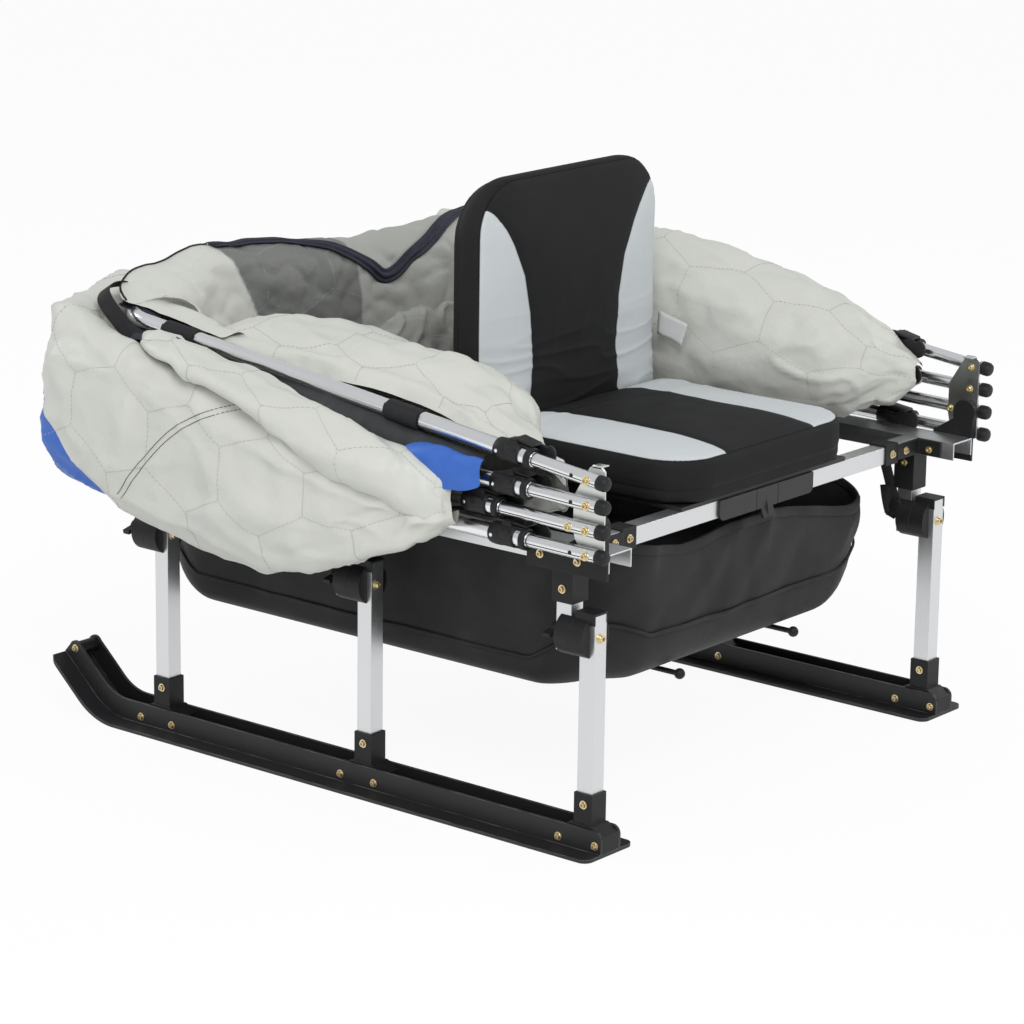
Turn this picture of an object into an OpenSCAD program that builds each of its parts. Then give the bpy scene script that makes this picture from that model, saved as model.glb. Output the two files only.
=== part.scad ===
// Portable flip-over ice fishing shelter on a two-ski sled, with its canopy folded back.
// +Z is up, -Y is the end that the seat faces, +Y is the towing end with the ski tips.

/* [Skis] */
// Distance between the centre lines of the two skis
ski_spacing = 830; // [760:5:1000]
// Width of a ski's sole plate
ski_width = 108; // [80:2:130]
// Thickness of the sole plate
ski_plate = 5; // [4:0.5:8]
// Outside width of the upright channel on the sole
channel_w = 44; // [42:1:60]
// Height of the channel's walls above the ground
channel_h = 37; // [30:1:45]
// Thickness of the channel's walls
channel_wall = 3.5; // [3:0.5:5]
// Sole past the leg at the seat end
ski_heel = 37; // [30:1:80]
// Flat sole past the leg at the towing end
ski_flat = 65; // [55:5:120]
// Radius of the bend at the tip
tip_radius = 110; // [90:5:160]
// Angle of the tip above the ground
tip_angle = 42; // [25:1:50]
// Straight run of the tip past its bend
tip_run = 82; // [50:1:120]

/* [Legs] */
// Distance from one leg to the next along a ski
leg_pitch = 400; // [330:5:460]
// Side of the square aluminium tube
tube = 25.4; // [22:0.1:32]
// Wall of the square tube
tube_wall = 2; // [1.5:0.1:3]
// Height of the folding knuckles' axis
knuckle_z = 303; // [280:1:340]
// Radius of a knuckle disc
knuckle_r = 30; // [26:1:32]
// Offset of the upper post from the leg, along the axis
post_offset = 41; // [38:1:50]
// Radius of the knuckle's clamping stud
stud_r = 4; // [3:0.5:5]

/* [Frame] */
// Height of the top of the side rails
deck_z = 432; // [425:1:480]
// Width of a side rail
rail_w = 50; // [44:1:60]
// Height of a side rail
rail_h = 26; // [22:1:32]
// Wall of a side rail
rail_wall = 2; // [1.5:0.1:3]
// Outboard shift of the rail from the line of the legs
rail_shift = 5; // [2:1:8]
// Rail past the leg at the seat end
rail_front = 47; // [40:1:80]
// Rail past the leg at the towing end
rail_rear = 130; // [100:5:160]

/* [Seat] */
// Width of the seat and of the backrest
seat_w = 430; // [360:5:430]
// Depth of the seat cushion
seat_d = 366; // [320:2:372]
// Thickness of the seat cushion
seat_t = 74; // [50:1:90]
// Height of the top of the backrest
back_top = 860; // [700:5:950]
// Thickness of the backrest cushion
back_t = 62; // [40:1:80]
// Radius of the backrest's upper corners
back_r = 75; // [40:5:100]

/* [Bag] */
// Half the width of the cargo bag below the rails
bag_half_w = 370; // [300:5:370]
// Height of the bag's floor
bag_floor = 180; // [150:5:230]
// Thickness of the bag's wall
bag_wall = 4; // [3:0.5:6]

/* [Canopy frame] */
// Height of the canopy's pivot
hub_z = 469; // [466:1:500]
// Spacing of the poles up the hub plate
pole_gap = 34.5; // [28:0.5:40]
// Radius of a pole's inner tube
pole_r = 9.5; // [8:0.5:12]
// Radius of a pole's outer tube
sleeve_r = 12; // [10:0.5:14]
// Radius of the bend at a bow's corner
bow_r = 55; // [40:5:90]
// Distance from the pivot back to the bows' cross tubes
bow_reach = 871; // [820:1:900]

/* [Canopy fabric] */
// Width of the folded fabric outboard of the poles
outer_roll = 104; // [70:2:140]
// Lowest point of the fabric that hangs outboard of the poles
roll_low = 326; // [320:1:420]
// Depth of the fabric behind the cross tubes
rear_roll = 134; // [90:2:150]

/* [Hidden] */

LEFT = -1;
RIGHT = 1;
seat_gap = 0.3;     // between a soft piece and what carries it
turn_gap = 0.4;     // between the faces of two pieces that turn on each other
bore_gap = 0.05;    // radial clearance of a shaft in its hole
socket_gap = 0.1;   // clearance each side of a tube in its socket

side_x = ski_spacing / 2;
leg_ys = [-leg_pitch, 0, leg_pitch];
heel_y = -leg_pitch - ski_heel;
bend_y = leg_pitch + ski_flat;
tip_y = bend_y + tip_radius * sin(tip_angle) + tip_run * cos(tip_angle);
leg_top = knuckle_z + 33;
leg_foot = 12;
block_top = 83.5;
post_foot = knuckle_z - 25;
knuckle_mid = post_offset / 2;

rail_x = side_x + rail_shift;
rail_in = rail_x - rail_w / 2;
rail_out = rail_x + rail_w / 2;
rail_y0 = -leg_pitch - rail_front;
rail_y1 = leg_pitch + rail_rear;
bracket_t = 4;
socket_w = 35;
socket_foot = 347;
plate_foot = deck_z - rail_h - 10;

pivot_y = rail_y0 + 16;
ear_t = 10;
hub_t = 3;
hub_x = rail_out + ear_t + 0.3;
pole_x = hub_x + hub_t + 0.3 + pole_r;
pole_nose = 19;     // pole in front of its bolt
cross_y = pivot_y + bow_reach;
// Bows from the top down: place up the hub plate, tilt above level, start of the outer tube.
bow_steps = [2, 1, 0, -1];
bow_tilts = [6.6, 2, 1.7, 1.1];
bow_starts = [96, 100, 150, 102];
nose_y = pivot_y - pole_nose * cos(bow_tilts[0]) - pole_r * sin(bow_tilts[0]);

// The origin is under the middle of the length from the pole ends to the ski tips.
mid_y = (tip_y + nose_y) / 2;

seat_bar_y = rail_y0 + 75.7;
support_bar_y = -70;
tow_bar_y = rail_y1 - 25;
bracket_sleeve = tube + 5.6;
tab_len = 42;
bracket_x0 = rail_in - bracket_t - 85;

hinge_y = -28;
seat_pan_t = 6;
seat_base = deck_z + seat_pan_t + seat_gap;
seat_top = seat_base + seat_t;
hinge_z = seat_top + 7;
hinge_r = 5;
hinge_pin_r = 2;
leaf_t = 3;
leaf_w = 60;
leaf_xs = [-120, 120];
seat_rear = hinge_y - hinge_r - seat_gap;
back_front = hinge_y - 2;

bag_y0 = seat_bar_y - tube / 2 + seat_gap;
bag_y1 = tow_bar_y + 17;
bag_rim = deck_z - max(rail_h, tube + 0.6) - seat_gap;
bag_mouth = bag_rim - 7;
bag_chamfer = 56;
bag_corner = 60;
rod_r = 4;
rod_z = bag_floor - rod_r - seat_gap;
rod_ball_r = 8;

// Everything is drawn for the right side, and mirrored for the left.
module on_side(side) if (side == LEFT) mirror([1, 0, 0]) children(); else children();
module placed() translate([0, -mid_y, 0]) children();
module along_y(y0, y1, r) translate([0, y0, 0]) rotate([-90, 0, 0]) cylinder(h = y1 - y0, r = r, $fn = 48);
module box(x0, x1, y0, y1, z0, z1) translate([x0, y0, z0]) cube([x1 - x0, y1 - y0, z1 - z0]);
module side_profile(x0, x1) translate([x0, 0, 0]) rotate([90, 0, 90]) linear_extrude(x1 - x0) children();

// ---- skis ----

// Points of a line that follows the sole at height h above it, from the heel to the tip.
function sole_line(h, end = 0) = concat(
    [[heel_y, h]],
    [for (a = [0 : tip_angle / 12 : tip_angle])
        [bend_y + (tip_radius - h) * sin(a), tip_radius - (tip_radius - h) * cos(a)]],
    [[bend_y + (tip_radius - h) * sin(tip_angle) + (tip_run - end) * cos(tip_angle),
      tip_radius - (tip_radius - h) * cos(tip_angle) + (tip_run - end) * sin(tip_angle)]]);
function backwards(points) = [for (i = [len(points) - 1 : -1 : 0]) points[i]];
// A place on the straight tip: distance back from its end, and height above the sole.
function tip_point(back, h) = let (p = sole_line(h, back)) p[len(p) - 1];

lobe_r = 13;
lobe_back = 11;
lobe_h = channel_h - lobe_r + 0.6;  // stands just proud of the wall

module sole_band(h0, h1, end = 0) polygon(concat(sole_line(h0, end), backwards(sole_line(h1, end))));

module ski_wall(x0) side_profile(x0, x0 + channel_wall) {
    difference() {
        sole_band(ski_plate - 1, channel_h, lobe_back);
        translate([heel_y - 1, channel_h - 12]) difference() {
            square([13, 13]);
            translate([13, 0]) circle(12, $fn = 48);
        }
    }
    tip_lobe();
}

module tip_lobe() {
    centre = tip_point(lobe_back, lobe_h);
    translate(centre) circle(lobe_r, $fn = 48);
    translate(centre) rotate(tip_angle) translate([-2, -lobe_h + ski_plate - 1])
        square([lobe_r + 1.4, lobe_h - ski_plate + 1]);
}

module sole_outline(r = 14) {
    w = ski_width;
    length = tip_y - heel_y;
    translate([-w / 2 + r, heel_y]) square([w - 2 * r, length]);
    translate([-w / 2, heel_y + r]) square([w, length - 2 * r]);
    for (x = [-1, 1], y = [heel_y + r, tip_y - r]) translate([x * (w / 2 - r), y]) circle(r, $fn = 48);
}

module ski_runner(side) color("#1c1c1e") on_side(side) translate([side_x, 0, 0]) {
    intersection() {
        side_profile(-ski_width / 2, ski_width / 2) sole_band(0, ski_plate);
        linear_extrude(300) sole_outline();
    }
    for (x = [-channel_w / 2, channel_w / 2 - channel_wall]) ski_wall(x);
}

// Moulded foot and socket under each leg, and the spacer between the walls at the tip.
module ski_blocks(side) color("#202022") on_side(side) translate([side_x, 0, 0]) {
    inner = channel_w / 2 - channel_wall;
    sleeve = tube + 6;
    for (y = leg_ys) difference() {
        union() {
            side_profile(-inner, inner) translate([y, 0]) polygon([[-ski_heel, ski_plate],
                [50, ski_plate], [50, channel_h - 12], [18, channel_h + 3], [-18, channel_h + 3],
                [-ski_heel, channel_h - 8]]);
            translate([-sleeve / 2, y - sleeve / 2, channel_h - 10]) cube([sleeve, sleeve,
                block_top - channel_h + 10]);
        }
        translate([-tube / 2 - socket_gap, y - tube / 2 - socket_gap, leg_foot])
            cube([tube + 2 * socket_gap, tube + 2 * socket_gap, block_top]);
    }
    spacer = tip_point(lobe_back, lobe_h);
    translate([-inner, spacer[0], spacer[1]]) rotate([0, 90, 0]) cylinder(h = 2 * inner, r = 10, $fn = 48);
}

module square_tube(length) difference() {
    translate([-tube / 2, -tube / 2, 0]) cube([tube, tube, length]);
    inside = tube - 2 * tube_wall;
    translate([-inside / 2, -inside / 2, -1]) cube([inside, inside, length + 2]);
}

module legs(side) color("#d4d5d6") on_side(side) translate([side_x, 0, 0]) for (y = leg_ys) difference() {
    translate([0, y, leg_foot]) square_tube(leg_top - leg_foot);
    translate([0, y, knuckle_z]) along_y(-tube, tube, stud_r + bore_gap);
}

// Half of the knuckle that holds the leg, with the shroud over the tube's end.
module leg_knuckles(side) color("#1b1b1d") on_side(side) for (y = leg_ys) translate([side_x, y, 0]) {
    face = knuckle_mid - turn_gap / 2;
    difference() {
        union() {
            translate([0, 0, knuckle_z]) along_y(-4, face, knuckle_r);
            box(-tube / 2 - 1.5, tube / 2 + 1.5, -tube / 2 - 1, face, knuckle_z + 20, leg_top + 3);
        }
        box(-tube / 2 - socket_gap, tube / 2 + socket_gap, -tube, tube / 2 + socket_gap,
            knuckle_z - 2 * knuckle_r, leg_top + socket_gap);
        translate([0, 0, knuckle_z]) along_y(-tube, 2 * tube, stud_r + bore_gap);
    }
}

// ---- frame ----

module rail(side) color("#d0d2d3") on_side(side) difference() {
    box(rail_in, rail_out, rail_y0, rail_y1, deck_z - rail_h, deck_z);
    box(rail_in + rail_wall, rail_out - rail_wall, rail_y0 - 1, rail_y1 + 1, 0, deck_z - rail_wall);
}

module cross_bar(y) color("#d0d2d3") {
    end = rail_in - bracket_t;
    translate([-end, y, deck_z - tube / 2]) rotate([0, 90, 0]) square_tube(2 * end);
}

// Black clip at each bar's end: a sleeve round the bar and a bent tab on the rail's flange.
module bar_bracket(y) {
    front = y - tube / 2;
    end = rail_in - bracket_t;
    tab_z0 = deck_z - tube + 1.5;
    tab_z1 = deck_z - 1;
    difference() {
        translate([bracket_x0, y - bracket_sleeve / 2, deck_z - tube / 2 - bracket_sleeve / 2])
            cube([bracket_sleeve, bracket_sleeve, bracket_sleeve]);
        box(0, rail_x, y - tube / 2, y + tube / 2, deck_z - tube, deck_z);
    }
    box(bracket_x0 + bracket_sleeve - 1, end + bracket_t, front - bracket_t, front, tab_z0, tab_z1);
    box(end, end + bracket_t, front - tab_len, front, tab_z0, tab_z1);
}

module bar_brackets(side) color("#18181a") on_side(side) {
    bar_bracket(seat_bar_y);
    bar_bracket(support_bar_y);
    bar_bracket(tow_bar_y);
}

// Saddle under the rail: a plate on its outer flange and a square socket for the post.
module leg_bracket(y, plate_y0, plate_y1) {
    half = socket_w / 2;
    tube_half = tube / 2 + socket_gap;
    box(rail_out, rail_out + bracket_t, plate_y0, plate_y1, plate_foot, deck_z - 2);
    difference() {
        union() {
            box(side_x - half, side_x + half, y - half, y + half, socket_foot, deck_z - rail_wall);
            box(side_x, rail_out + bracket_t, y - half, y + half, plate_foot, deck_z - rail_h);
        }
        box(side_x - tube_half, side_x + tube_half, y - tube_half, y + tube_half, 0, deck_z - 10);
        box(rail_out - rail_wall, rail_out, y - rail_w, y + rail_w, deck_z - rail_h, deck_z);
    }
}

module leg_brackets(side) color("#232325") on_side(side) for (y = [leg_ys[1], leg_ys[2]])
    leg_bracket(y + post_offset, y + post_offset - 50, y + post_offset + 50);

// The seat-end saddle carries an upright ear with the canopy's pivot pin.
module hub_bracket(side) color("#232325") on_side(side) {
    leg_bracket(leg_ys[0] + post_offset, rail_y0, rail_y0 + 137);
    ear_r = 19;
    side_profile(rail_out, rail_out + ear_t) {
        translate([pivot_y, hub_z]) circle(ear_r, $fn = 64);
        polygon([[rail_y0, deck_z - 2], [rail_y0 + 69, deck_z - 2], [rail_y0 + 69, deck_z + 3],
            [pivot_y + ear_r, hub_z - 12], [pivot_y + ear_r, hub_z], [pivot_y - 16, hub_z],
            [rail_y0, deck_z + 18]]);
    }
    translate([rail_out + ear_t, pivot_y, hub_z]) rotate([0, 90, 0])
        cylinder(h = hub_t + 0.3, r = stud_r, $fn = 48);
}

module posts(side) color("#d4d5d6") on_side(side) translate([side_x, 0, 0]) for (y = leg_ys) difference() {
    translate([0, y + post_offset, post_foot]) square_tube(deck_z - 12 - post_foot);
    translate([0, y + post_offset, knuckle_z]) along_y(-tube, tube, stud_r + bore_gap);
}

module post_knuckles(side) color("#1b1b1d") on_side(side) for (y = leg_ys) translate([side_x, y, 0]) {
    face = knuckle_mid + turn_gap / 2;
    difference() {
        translate([0, 0, knuckle_z]) along_y(face, post_offset + 4, knuckle_r);
        box(-tube / 2 - socket_gap, tube / 2 + socket_gap, post_offset - tube / 2 - socket_gap,
            post_offset + tube, post_foot - socket_gap, knuckle_z + 2 * knuckle_r);
        translate([0, 0, knuckle_z]) along_y(0, 2 * tube + post_offset, stud_r + bore_gap);
    }
}

// Wing knob on the post's far face, with the stud that clamps the two halves.
module wing_knobs(side) color("#18181a") on_side(side) for (y = leg_ys) translate([side_x, y, knuckle_z]) {
    seat = post_offset + tube / 2;
    along_y(-tube / 2, seat + 2, stud_r);
    along_y(seat, seat + 14, 9);
    rotate([0, 14, 0]) box(-23, 23, seat + 4, seat + 16, -3, 3);
}

// ---- seat ----

module rounded_rect(w, d, r, facets = 48) {
    square([w - 2 * r, d], center = true);
    square([w, d - 2 * r], center = true);
    for (x = [-1, 1], y = [-1, 1]) translate([x * (w / 2 - r), y * (d / 2 - r)]) circle(r, $fn = facets);
}

module seat_pan() color("#1e1e20") box(-seat_w / 2 + 15, seat_w / 2 - 15, seat_bar_y - tube / 2 - 0.3,
    hinge_y - hinge_r, deck_z, deck_z + seat_pan_t);

module seat_cushion() color("#2a2a2c") translate([0, seat_rear - seat_d / 2, seat_base])
    linear_extrude(seat_t) rounded_rect(seat_w, seat_d, 30);

// Hook plate under the front of the pan: it carries the middle of the bag's rim.
module seat_hanger() color("#161618") {
    plate_y = seat_bar_y - tube / 2;
    foot_z = deck_z - 30;
    hook_z = foot_z - 14;
    difference() {
        translate([0, plate_y, 0]) rotate([90, 0, 0]) linear_extrude(4) {
            translate([-114, foot_z + 10]) square([228, 20]);
            translate([-104, foot_z]) square([208, 12]);
            for (x = [-104, 104]) translate([x, foot_z + 10]) circle(10, $fn = 48);
        }
        for (x = [-26, 26]) box(x - 0.9, x + 0.9, plate_y - 5, plate_y - 3, foot_z - 1, deck_z + 1);
    }
    side_profile(-14, 14) polygon([[plate_y - 4, foot_z], [plate_y, foot_z],
        [plate_y - 5, hook_z], [plate_y - 9, hook_z]]);
    side_profile(-1.5, 1.5) polygon([[plate_y - 3, foot_z + 18], [plate_y - 3, foot_z + 1],
        [plate_y - 8, hook_z + 1], [plate_y - 9, hook_z]]);
}

// Base leaf: stands on the seat pan's edge and carries the middle barrel and the pin.
module seat_hinge_leaves() color("#3a3a3c") for (x = leaf_xs) {
    plate_y = hinge_y - hinge_r;
    difference() {
        box(x - leaf_w / 2, x + leaf_w / 2, plate_y, plate_y + leaf_t, deck_z, hinge_z);
        for (s = [-1, 1]) translate([x + s * leaf_w / 3, hinge_y, hinge_z]) rotate([0, 90, 0])
            cylinder(h = leaf_w / 3 + 2, r = hinge_r + 1, center = true, $fn = 48);
    }
    translate([x, hinge_y, hinge_z]) rotate([0, 90, 0]) {
        cylinder(h = leaf_w / 3 - 2, r = hinge_r, center = true, $fn = 48);
        cylinder(h = leaf_w, r = hinge_pin_r, center = true, $fn = 48);
    }
}

module backrest_hinge_leaves() color("#3a3a3c") for (x = leaf_xs, s = [-1, 1]) {
    plate_y = hinge_y + hinge_r;
    barrel_x = x + s * leaf_w / 3;
    difference() {
        union() {
            translate([barrel_x, hinge_y, hinge_z]) rotate([0, 90, 0])
                cylinder(h = leaf_w / 3, r = hinge_r, center = true, $fn = 48);
            box(barrel_x - leaf_w / 6, barrel_x + leaf_w / 6, plate_y - leaf_t, plate_y, hinge_z - 56, hinge_z);
        }
        translate([barrel_x, hinge_y, hinge_z]) rotate([0, 90, 0])
            cylinder(h = leaf_w, r = hinge_pin_r + bore_gap, center = true, $fn = 48);
    }
}

// The lower front of the backrest steps back behind the hinge barrels.
module backrest_cushion() color("#2a2a2c") {
    foot = seat_base + 16;
    step_y = hinge_y + hinge_r + 0.5;
    step_z = hinge_z + hinge_r + 2;
    w = seat_w - 4;
    intersection() {
        side_profile(-w / 2, w / 2) polygon([[step_y, foot], [back_front + back_t, foot],
            [back_front + back_t, back_top], [back_front, back_top], [back_front, step_z], [step_y, step_z]]);
        translate([0, 100, (foot + back_top) / 2]) rotate([90, 0, 0]) linear_extrude(200) {
            h = back_top - foot;
            translate([-w / 2, -h / 2]) square([w, h - back_r]);
            translate([-w / 2 + back_r, -h / 2]) square([w - 2 * back_r, h]);
            for (x = [-1, 1]) translate([x * (w / 2 - back_r), h / 2 - back_r]) circle(back_r, $fn = 64);
        }
    }
}

// ---- cargo bag ----

module bag_form(inset, top) intersection() {
    side_profile(-bag_half_w + inset, bag_half_w - inset) polygon([
        [bag_y0 + inset, top], [bag_y0 + inset, bag_floor + bag_chamfer],
        [bag_y0 + bag_chamfer, bag_floor + inset], [bag_y1 - bag_chamfer, bag_floor + inset],
        [bag_y1 - inset, bag_floor + bag_chamfer], [bag_y1 - inset, top]]);
    translate([0, (bag_y0 + bag_y1) / 2, 0]) linear_extrude(deck_z)
        rounded_rect(2 * (bag_half_w - inset), bag_y1 - bag_y0 - 2 * inset, bag_corner - 0.586 * inset, 4);
}

module cargo_bag() color("#141416") {
    lip_y0 = bag_y0 + bag_corner + 20;
    lip_y1 = bag_y1 - bag_corner - 20;
    difference() {
        bag_form(0, bag_mouth);
        bag_form(bag_wall, deck_z);
    }
    for (side = [LEFT, RIGHT]) on_side(side) side_profile_y(lip_y0, lip_y1) polygon([
        [bag_half_w - bag_wall, bag_mouth - 6], [bag_half_w, bag_mouth - 6],
        [rail_in + 1.5, bag_rim - 3], [rail_in + 1.5, bag_rim], [bag_half_w - bag_wall, bag_mouth]]);
}

module side_profile_y(y0, y1) translate([0, y1, 0]) rotate([90, 0, 0]) linear_extrude(y1 - y0) children();

module bag_rods() color("#161618") for (x = [-140, 140]) translate([x, 0, rod_z]) {
    along_y(bag_y0 + 42, bag_y1 - 42, rod_r);
    for (y = [bag_y0 + 40, bag_y1 - 40]) translate([0, y, 0]) sphere(rod_ball_r, $fn = 48);
}

// ---- canopy ----

module hub_plate(side) color("#b9bdb6") on_side(side) difference() {
    side_profile(hub_x, hub_x + hub_t) polygon([
        [rail_y0 - 1, hub_z - pole_gap - 4], [pivot_y + 12, hub_z - pole_gap - 4],
        [pivot_y + 24, hub_z - pole_gap + 4], [pivot_y + 32, hub_z - 20], [pivot_y + 35, hub_z - 6],
        [pivot_y + 35, hub_z + pole_gap + 4], [pivot_y + 9, hub_z + 2 * pole_gap + 12],
        [pivot_y + 5, hub_z + 2 * pole_gap + 15], [rail_y0 + 4, hub_z + 2 * pole_gap + 15],
        [rail_y0 - 1, hub_z + 2 * pole_gap + 10]]);
    translate([hub_x - 1, pivot_y, hub_z]) rotate([0, 90, 0])
        cylinder(h = hub_t + 2, r = stud_r + bore_gap, $fn = 48);
}

clamp_len = 62;
clamp_r = 15.5;

// A quarter turn of tube from the side pole into the cross tube, in the bow's own plane.
module bow_corner() rotate_extrude(angle = 90, $fn = 64) translate([bow_r, 0]) circle(sleeve_r, $fn = 32);

module bow(i) color("#cfd1d3") bow_place(i) {
    reach = bow_reach / cos(bow_tilts[i]);
    for (side = [LEFT, RIGHT]) on_side(side) translate([pole_x, 0, 0]) {
        along_y(-pole_nose, bow_starts[i], pole_r);
        along_y(bow_starts[i], reach - bow_r, sleeve_r);
        translate([-bow_r, reach - bow_r, 0]) bow_corner();
    }
    translate([-pole_x + bow_r, reach, 0]) rotate([0, 90, 0])
        cylinder(h = 2 * (pole_x - bow_r), r = sleeve_r, $fn = 48);
}

module bow_place(i) translate([0, pivot_y, hub_z + bow_steps[i] * pole_gap]) rotate([bow_tilts[i], 0, 0])
    children();

// Cam-lever clamp that grips the outer tube where the inner one slides in.
module bow_clamps() color("#1a1a1c") for (i = [0 : 3], side = [LEFT, RIGHT]) bow_place(i) on_side(side)
    translate([pole_x, bow_starts[i], 0]) difference() {
        union() {
            along_y(1, clamp_len, clamp_r);
            box(-clamp_r - 3, -6, -24, clamp_len - 12, -5, 5);
        }
        along_y(-1, clamp_len + 1, sleeve_r + 0.2);
        box(-sleeve_r - 0.2, sleeve_r, -30, 1.01, -12, 12);
    }

// An ellipsoid whose facets reach its full size along each axis.
module blob(x, y, z, rx, ry, rz) translate([x, y, z]) scale([rx, ry, rz]) sphere(1 / cos(9), $fn = 20);

// Room that the fabric leaves beside the poles: more where the clamps are.
clamps_end = 281;
function pole_room(back) = (back < clamps_end ? clamp_r + 4.5 : sleeve_r) + seat_gap;

// Folded fabric on one side: a roll that hangs outboard of the poles and one beside the seat.
// Each row is distance behind the pivot, lowest and highest point.
outer_rows = [[101, 440, 478], [241, 380, 500], [521, roll_low, 570], [821, 392, 640]];
left_rows = [[161, 470, 575], [371, 444, 625], [641, 444, 660], [761, 450, 655]];
right_rows = [[101, 470, 560], [251, 444, 600], [491, 444, 690], [761, 450, 690]];

// A roll beside the poles, out to x_far: outboard of them, or inboard towards the seat.
module roll(rows, x_far) {
    outboard = x_far > pole_x ? 1 : -1;
    hull() for (row = rows) {
        x_near = pole_x + outboard * pole_room(row[0]);
        rx = abs(x_far - x_near) / 2;
        rz = (row[2] - row[1]) / 2;
        ry = min(rz, 60);
        blob((x_near + x_far) / 2, pivot_y + row[0], row[1] + rz, rx, ry, rz);
    }
}

module canopy_side(side, rows) color("#cdd0c8") on_side(side) {
    roll(outer_rows, pole_x + clamp_r + outer_roll);
    roll(rows, seat_w / 2 + 10);
}

// Fabric that hangs behind the cross tubes, its drop past the rails' ends, and the roll in front.
module canopy_rear() color("#cdd0c8") {
    half = pole_x + outer_roll - 110;
    back = cross_y + sleeve_r + seat_gap;
    hull() for (s = [-1, 1]) {
        blob(s * half, back + rear_roll / 2, 540, 90, rear_roll / 2, 98);
        blob(s * half * 0.5, back + rear_roll / 2, 562, 90, rear_roll / 2, 122);
    }
    drop_y = (max(rail_y1 + 8, back) + back + rear_roll) / 2;
    drop_d = back + rear_roll - drop_y;
    hull() for (s = [-1, 1]) blob(s * half, drop_y, 455, 80, drop_d, 60);
    front = cross_y - sleeve_r - seat_gap;
    hull() for (s = [-1, 1]) blob(s * 130, front - 20, 555, 88, 20, 95);
}

placed() rail(LEFT);  // left_rail
placed() rail(RIGHT);  // right_rail
placed() cross_bar(seat_bar_y);  // seat_end_bar
placed() cross_bar(support_bar_y);  // seat_support_bar
placed() cross_bar(tow_bar_y);  // tow_end_bar
placed() bar_brackets(LEFT);  // left_bar_brackets
placed() bar_brackets(RIGHT);  // right_bar_brackets
placed() hub_bracket(LEFT);  // left_hub_bracket
placed() hub_bracket(RIGHT);  // right_hub_bracket
placed() leg_brackets(LEFT);  // left_leg_brackets
placed() leg_brackets(RIGHT);  // right_leg_brackets
placed() posts(LEFT);  // left_posts
placed() posts(RIGHT);  // right_posts
placed() post_knuckles(LEFT);  // left_post_knuckles
placed() post_knuckles(RIGHT);  // right_post_knuckles
placed() wing_knobs(LEFT);  // left_wing_knobs
placed() wing_knobs(RIGHT);  // right_wing_knobs
placed() seat_pan();
placed() seat_hanger();
placed() seat_cushion();
placed() seat_hinge_leaves();
placed() cargo_bag();
placed() bag_rods();
placed() ski_runner(LEFT);  // left_ski_runner
placed() ski_blocks(LEFT);  // left_ski_blocks
placed() legs(LEFT);  // left_legs
placed() leg_knuckles(LEFT);  // left_leg_knuckles
placed() ski_runner(RIGHT);  // right_ski_runner
placed() ski_blocks(RIGHT);  // right_ski_blocks
placed() legs(RIGHT);  // right_legs
placed() leg_knuckles(RIGHT);  // right_leg_knuckles
placed() backrest_cushion();
placed() backrest_hinge_leaves();
placed() hub_plate(LEFT);  // left_hub_plate
placed() hub_plate(RIGHT);  // right_hub_plate
placed() bow(0);  // top_bow
placed() bow(1);  // second_bow
placed() bow(2);  // third_bow
placed() bow(3);  // lower_bow
placed() bow_clamps();
placed() canopy_side(LEFT, left_rows);  // canopy_left
placed() canopy_side(RIGHT, right_rows);  // canopy_right
placed() canopy_rear();
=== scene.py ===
from math import cos, pi, radians, sin, sqrt

import bmesh
import bpy
import numpy as np
from mathutils import Matrix, Vector, noise
from mathutils.bvhtree import BVHTree
from mathutils.interpolate import poly_3d_calc


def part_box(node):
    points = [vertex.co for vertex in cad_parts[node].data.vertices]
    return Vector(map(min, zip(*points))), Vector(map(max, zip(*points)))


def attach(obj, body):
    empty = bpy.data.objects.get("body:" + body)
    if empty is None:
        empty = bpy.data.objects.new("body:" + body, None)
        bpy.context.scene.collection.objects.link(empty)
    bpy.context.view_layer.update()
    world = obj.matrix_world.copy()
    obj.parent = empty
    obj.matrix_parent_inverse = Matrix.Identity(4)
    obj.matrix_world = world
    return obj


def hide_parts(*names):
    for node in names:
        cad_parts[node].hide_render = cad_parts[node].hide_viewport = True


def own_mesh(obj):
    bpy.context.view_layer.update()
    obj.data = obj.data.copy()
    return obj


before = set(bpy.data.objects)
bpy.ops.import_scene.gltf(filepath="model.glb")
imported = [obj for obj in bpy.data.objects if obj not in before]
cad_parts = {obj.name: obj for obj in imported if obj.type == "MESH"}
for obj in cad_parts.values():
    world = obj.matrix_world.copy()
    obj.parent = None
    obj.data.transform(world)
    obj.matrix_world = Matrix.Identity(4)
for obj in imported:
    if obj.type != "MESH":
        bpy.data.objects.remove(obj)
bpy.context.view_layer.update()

# ---- Studio ----
# A white sweep of paper under the sled, one large soft box over the near shoulder and two
# weaker ones opposite, with a plain bright room all round.

camera_target = Vector((0.178, 0.151, 0.250))
camera_distance = 5.921
camera_azimuth = radians(-50.94)
camera_rise = radians(14.81)
camera_roll = radians(0.78)


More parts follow.
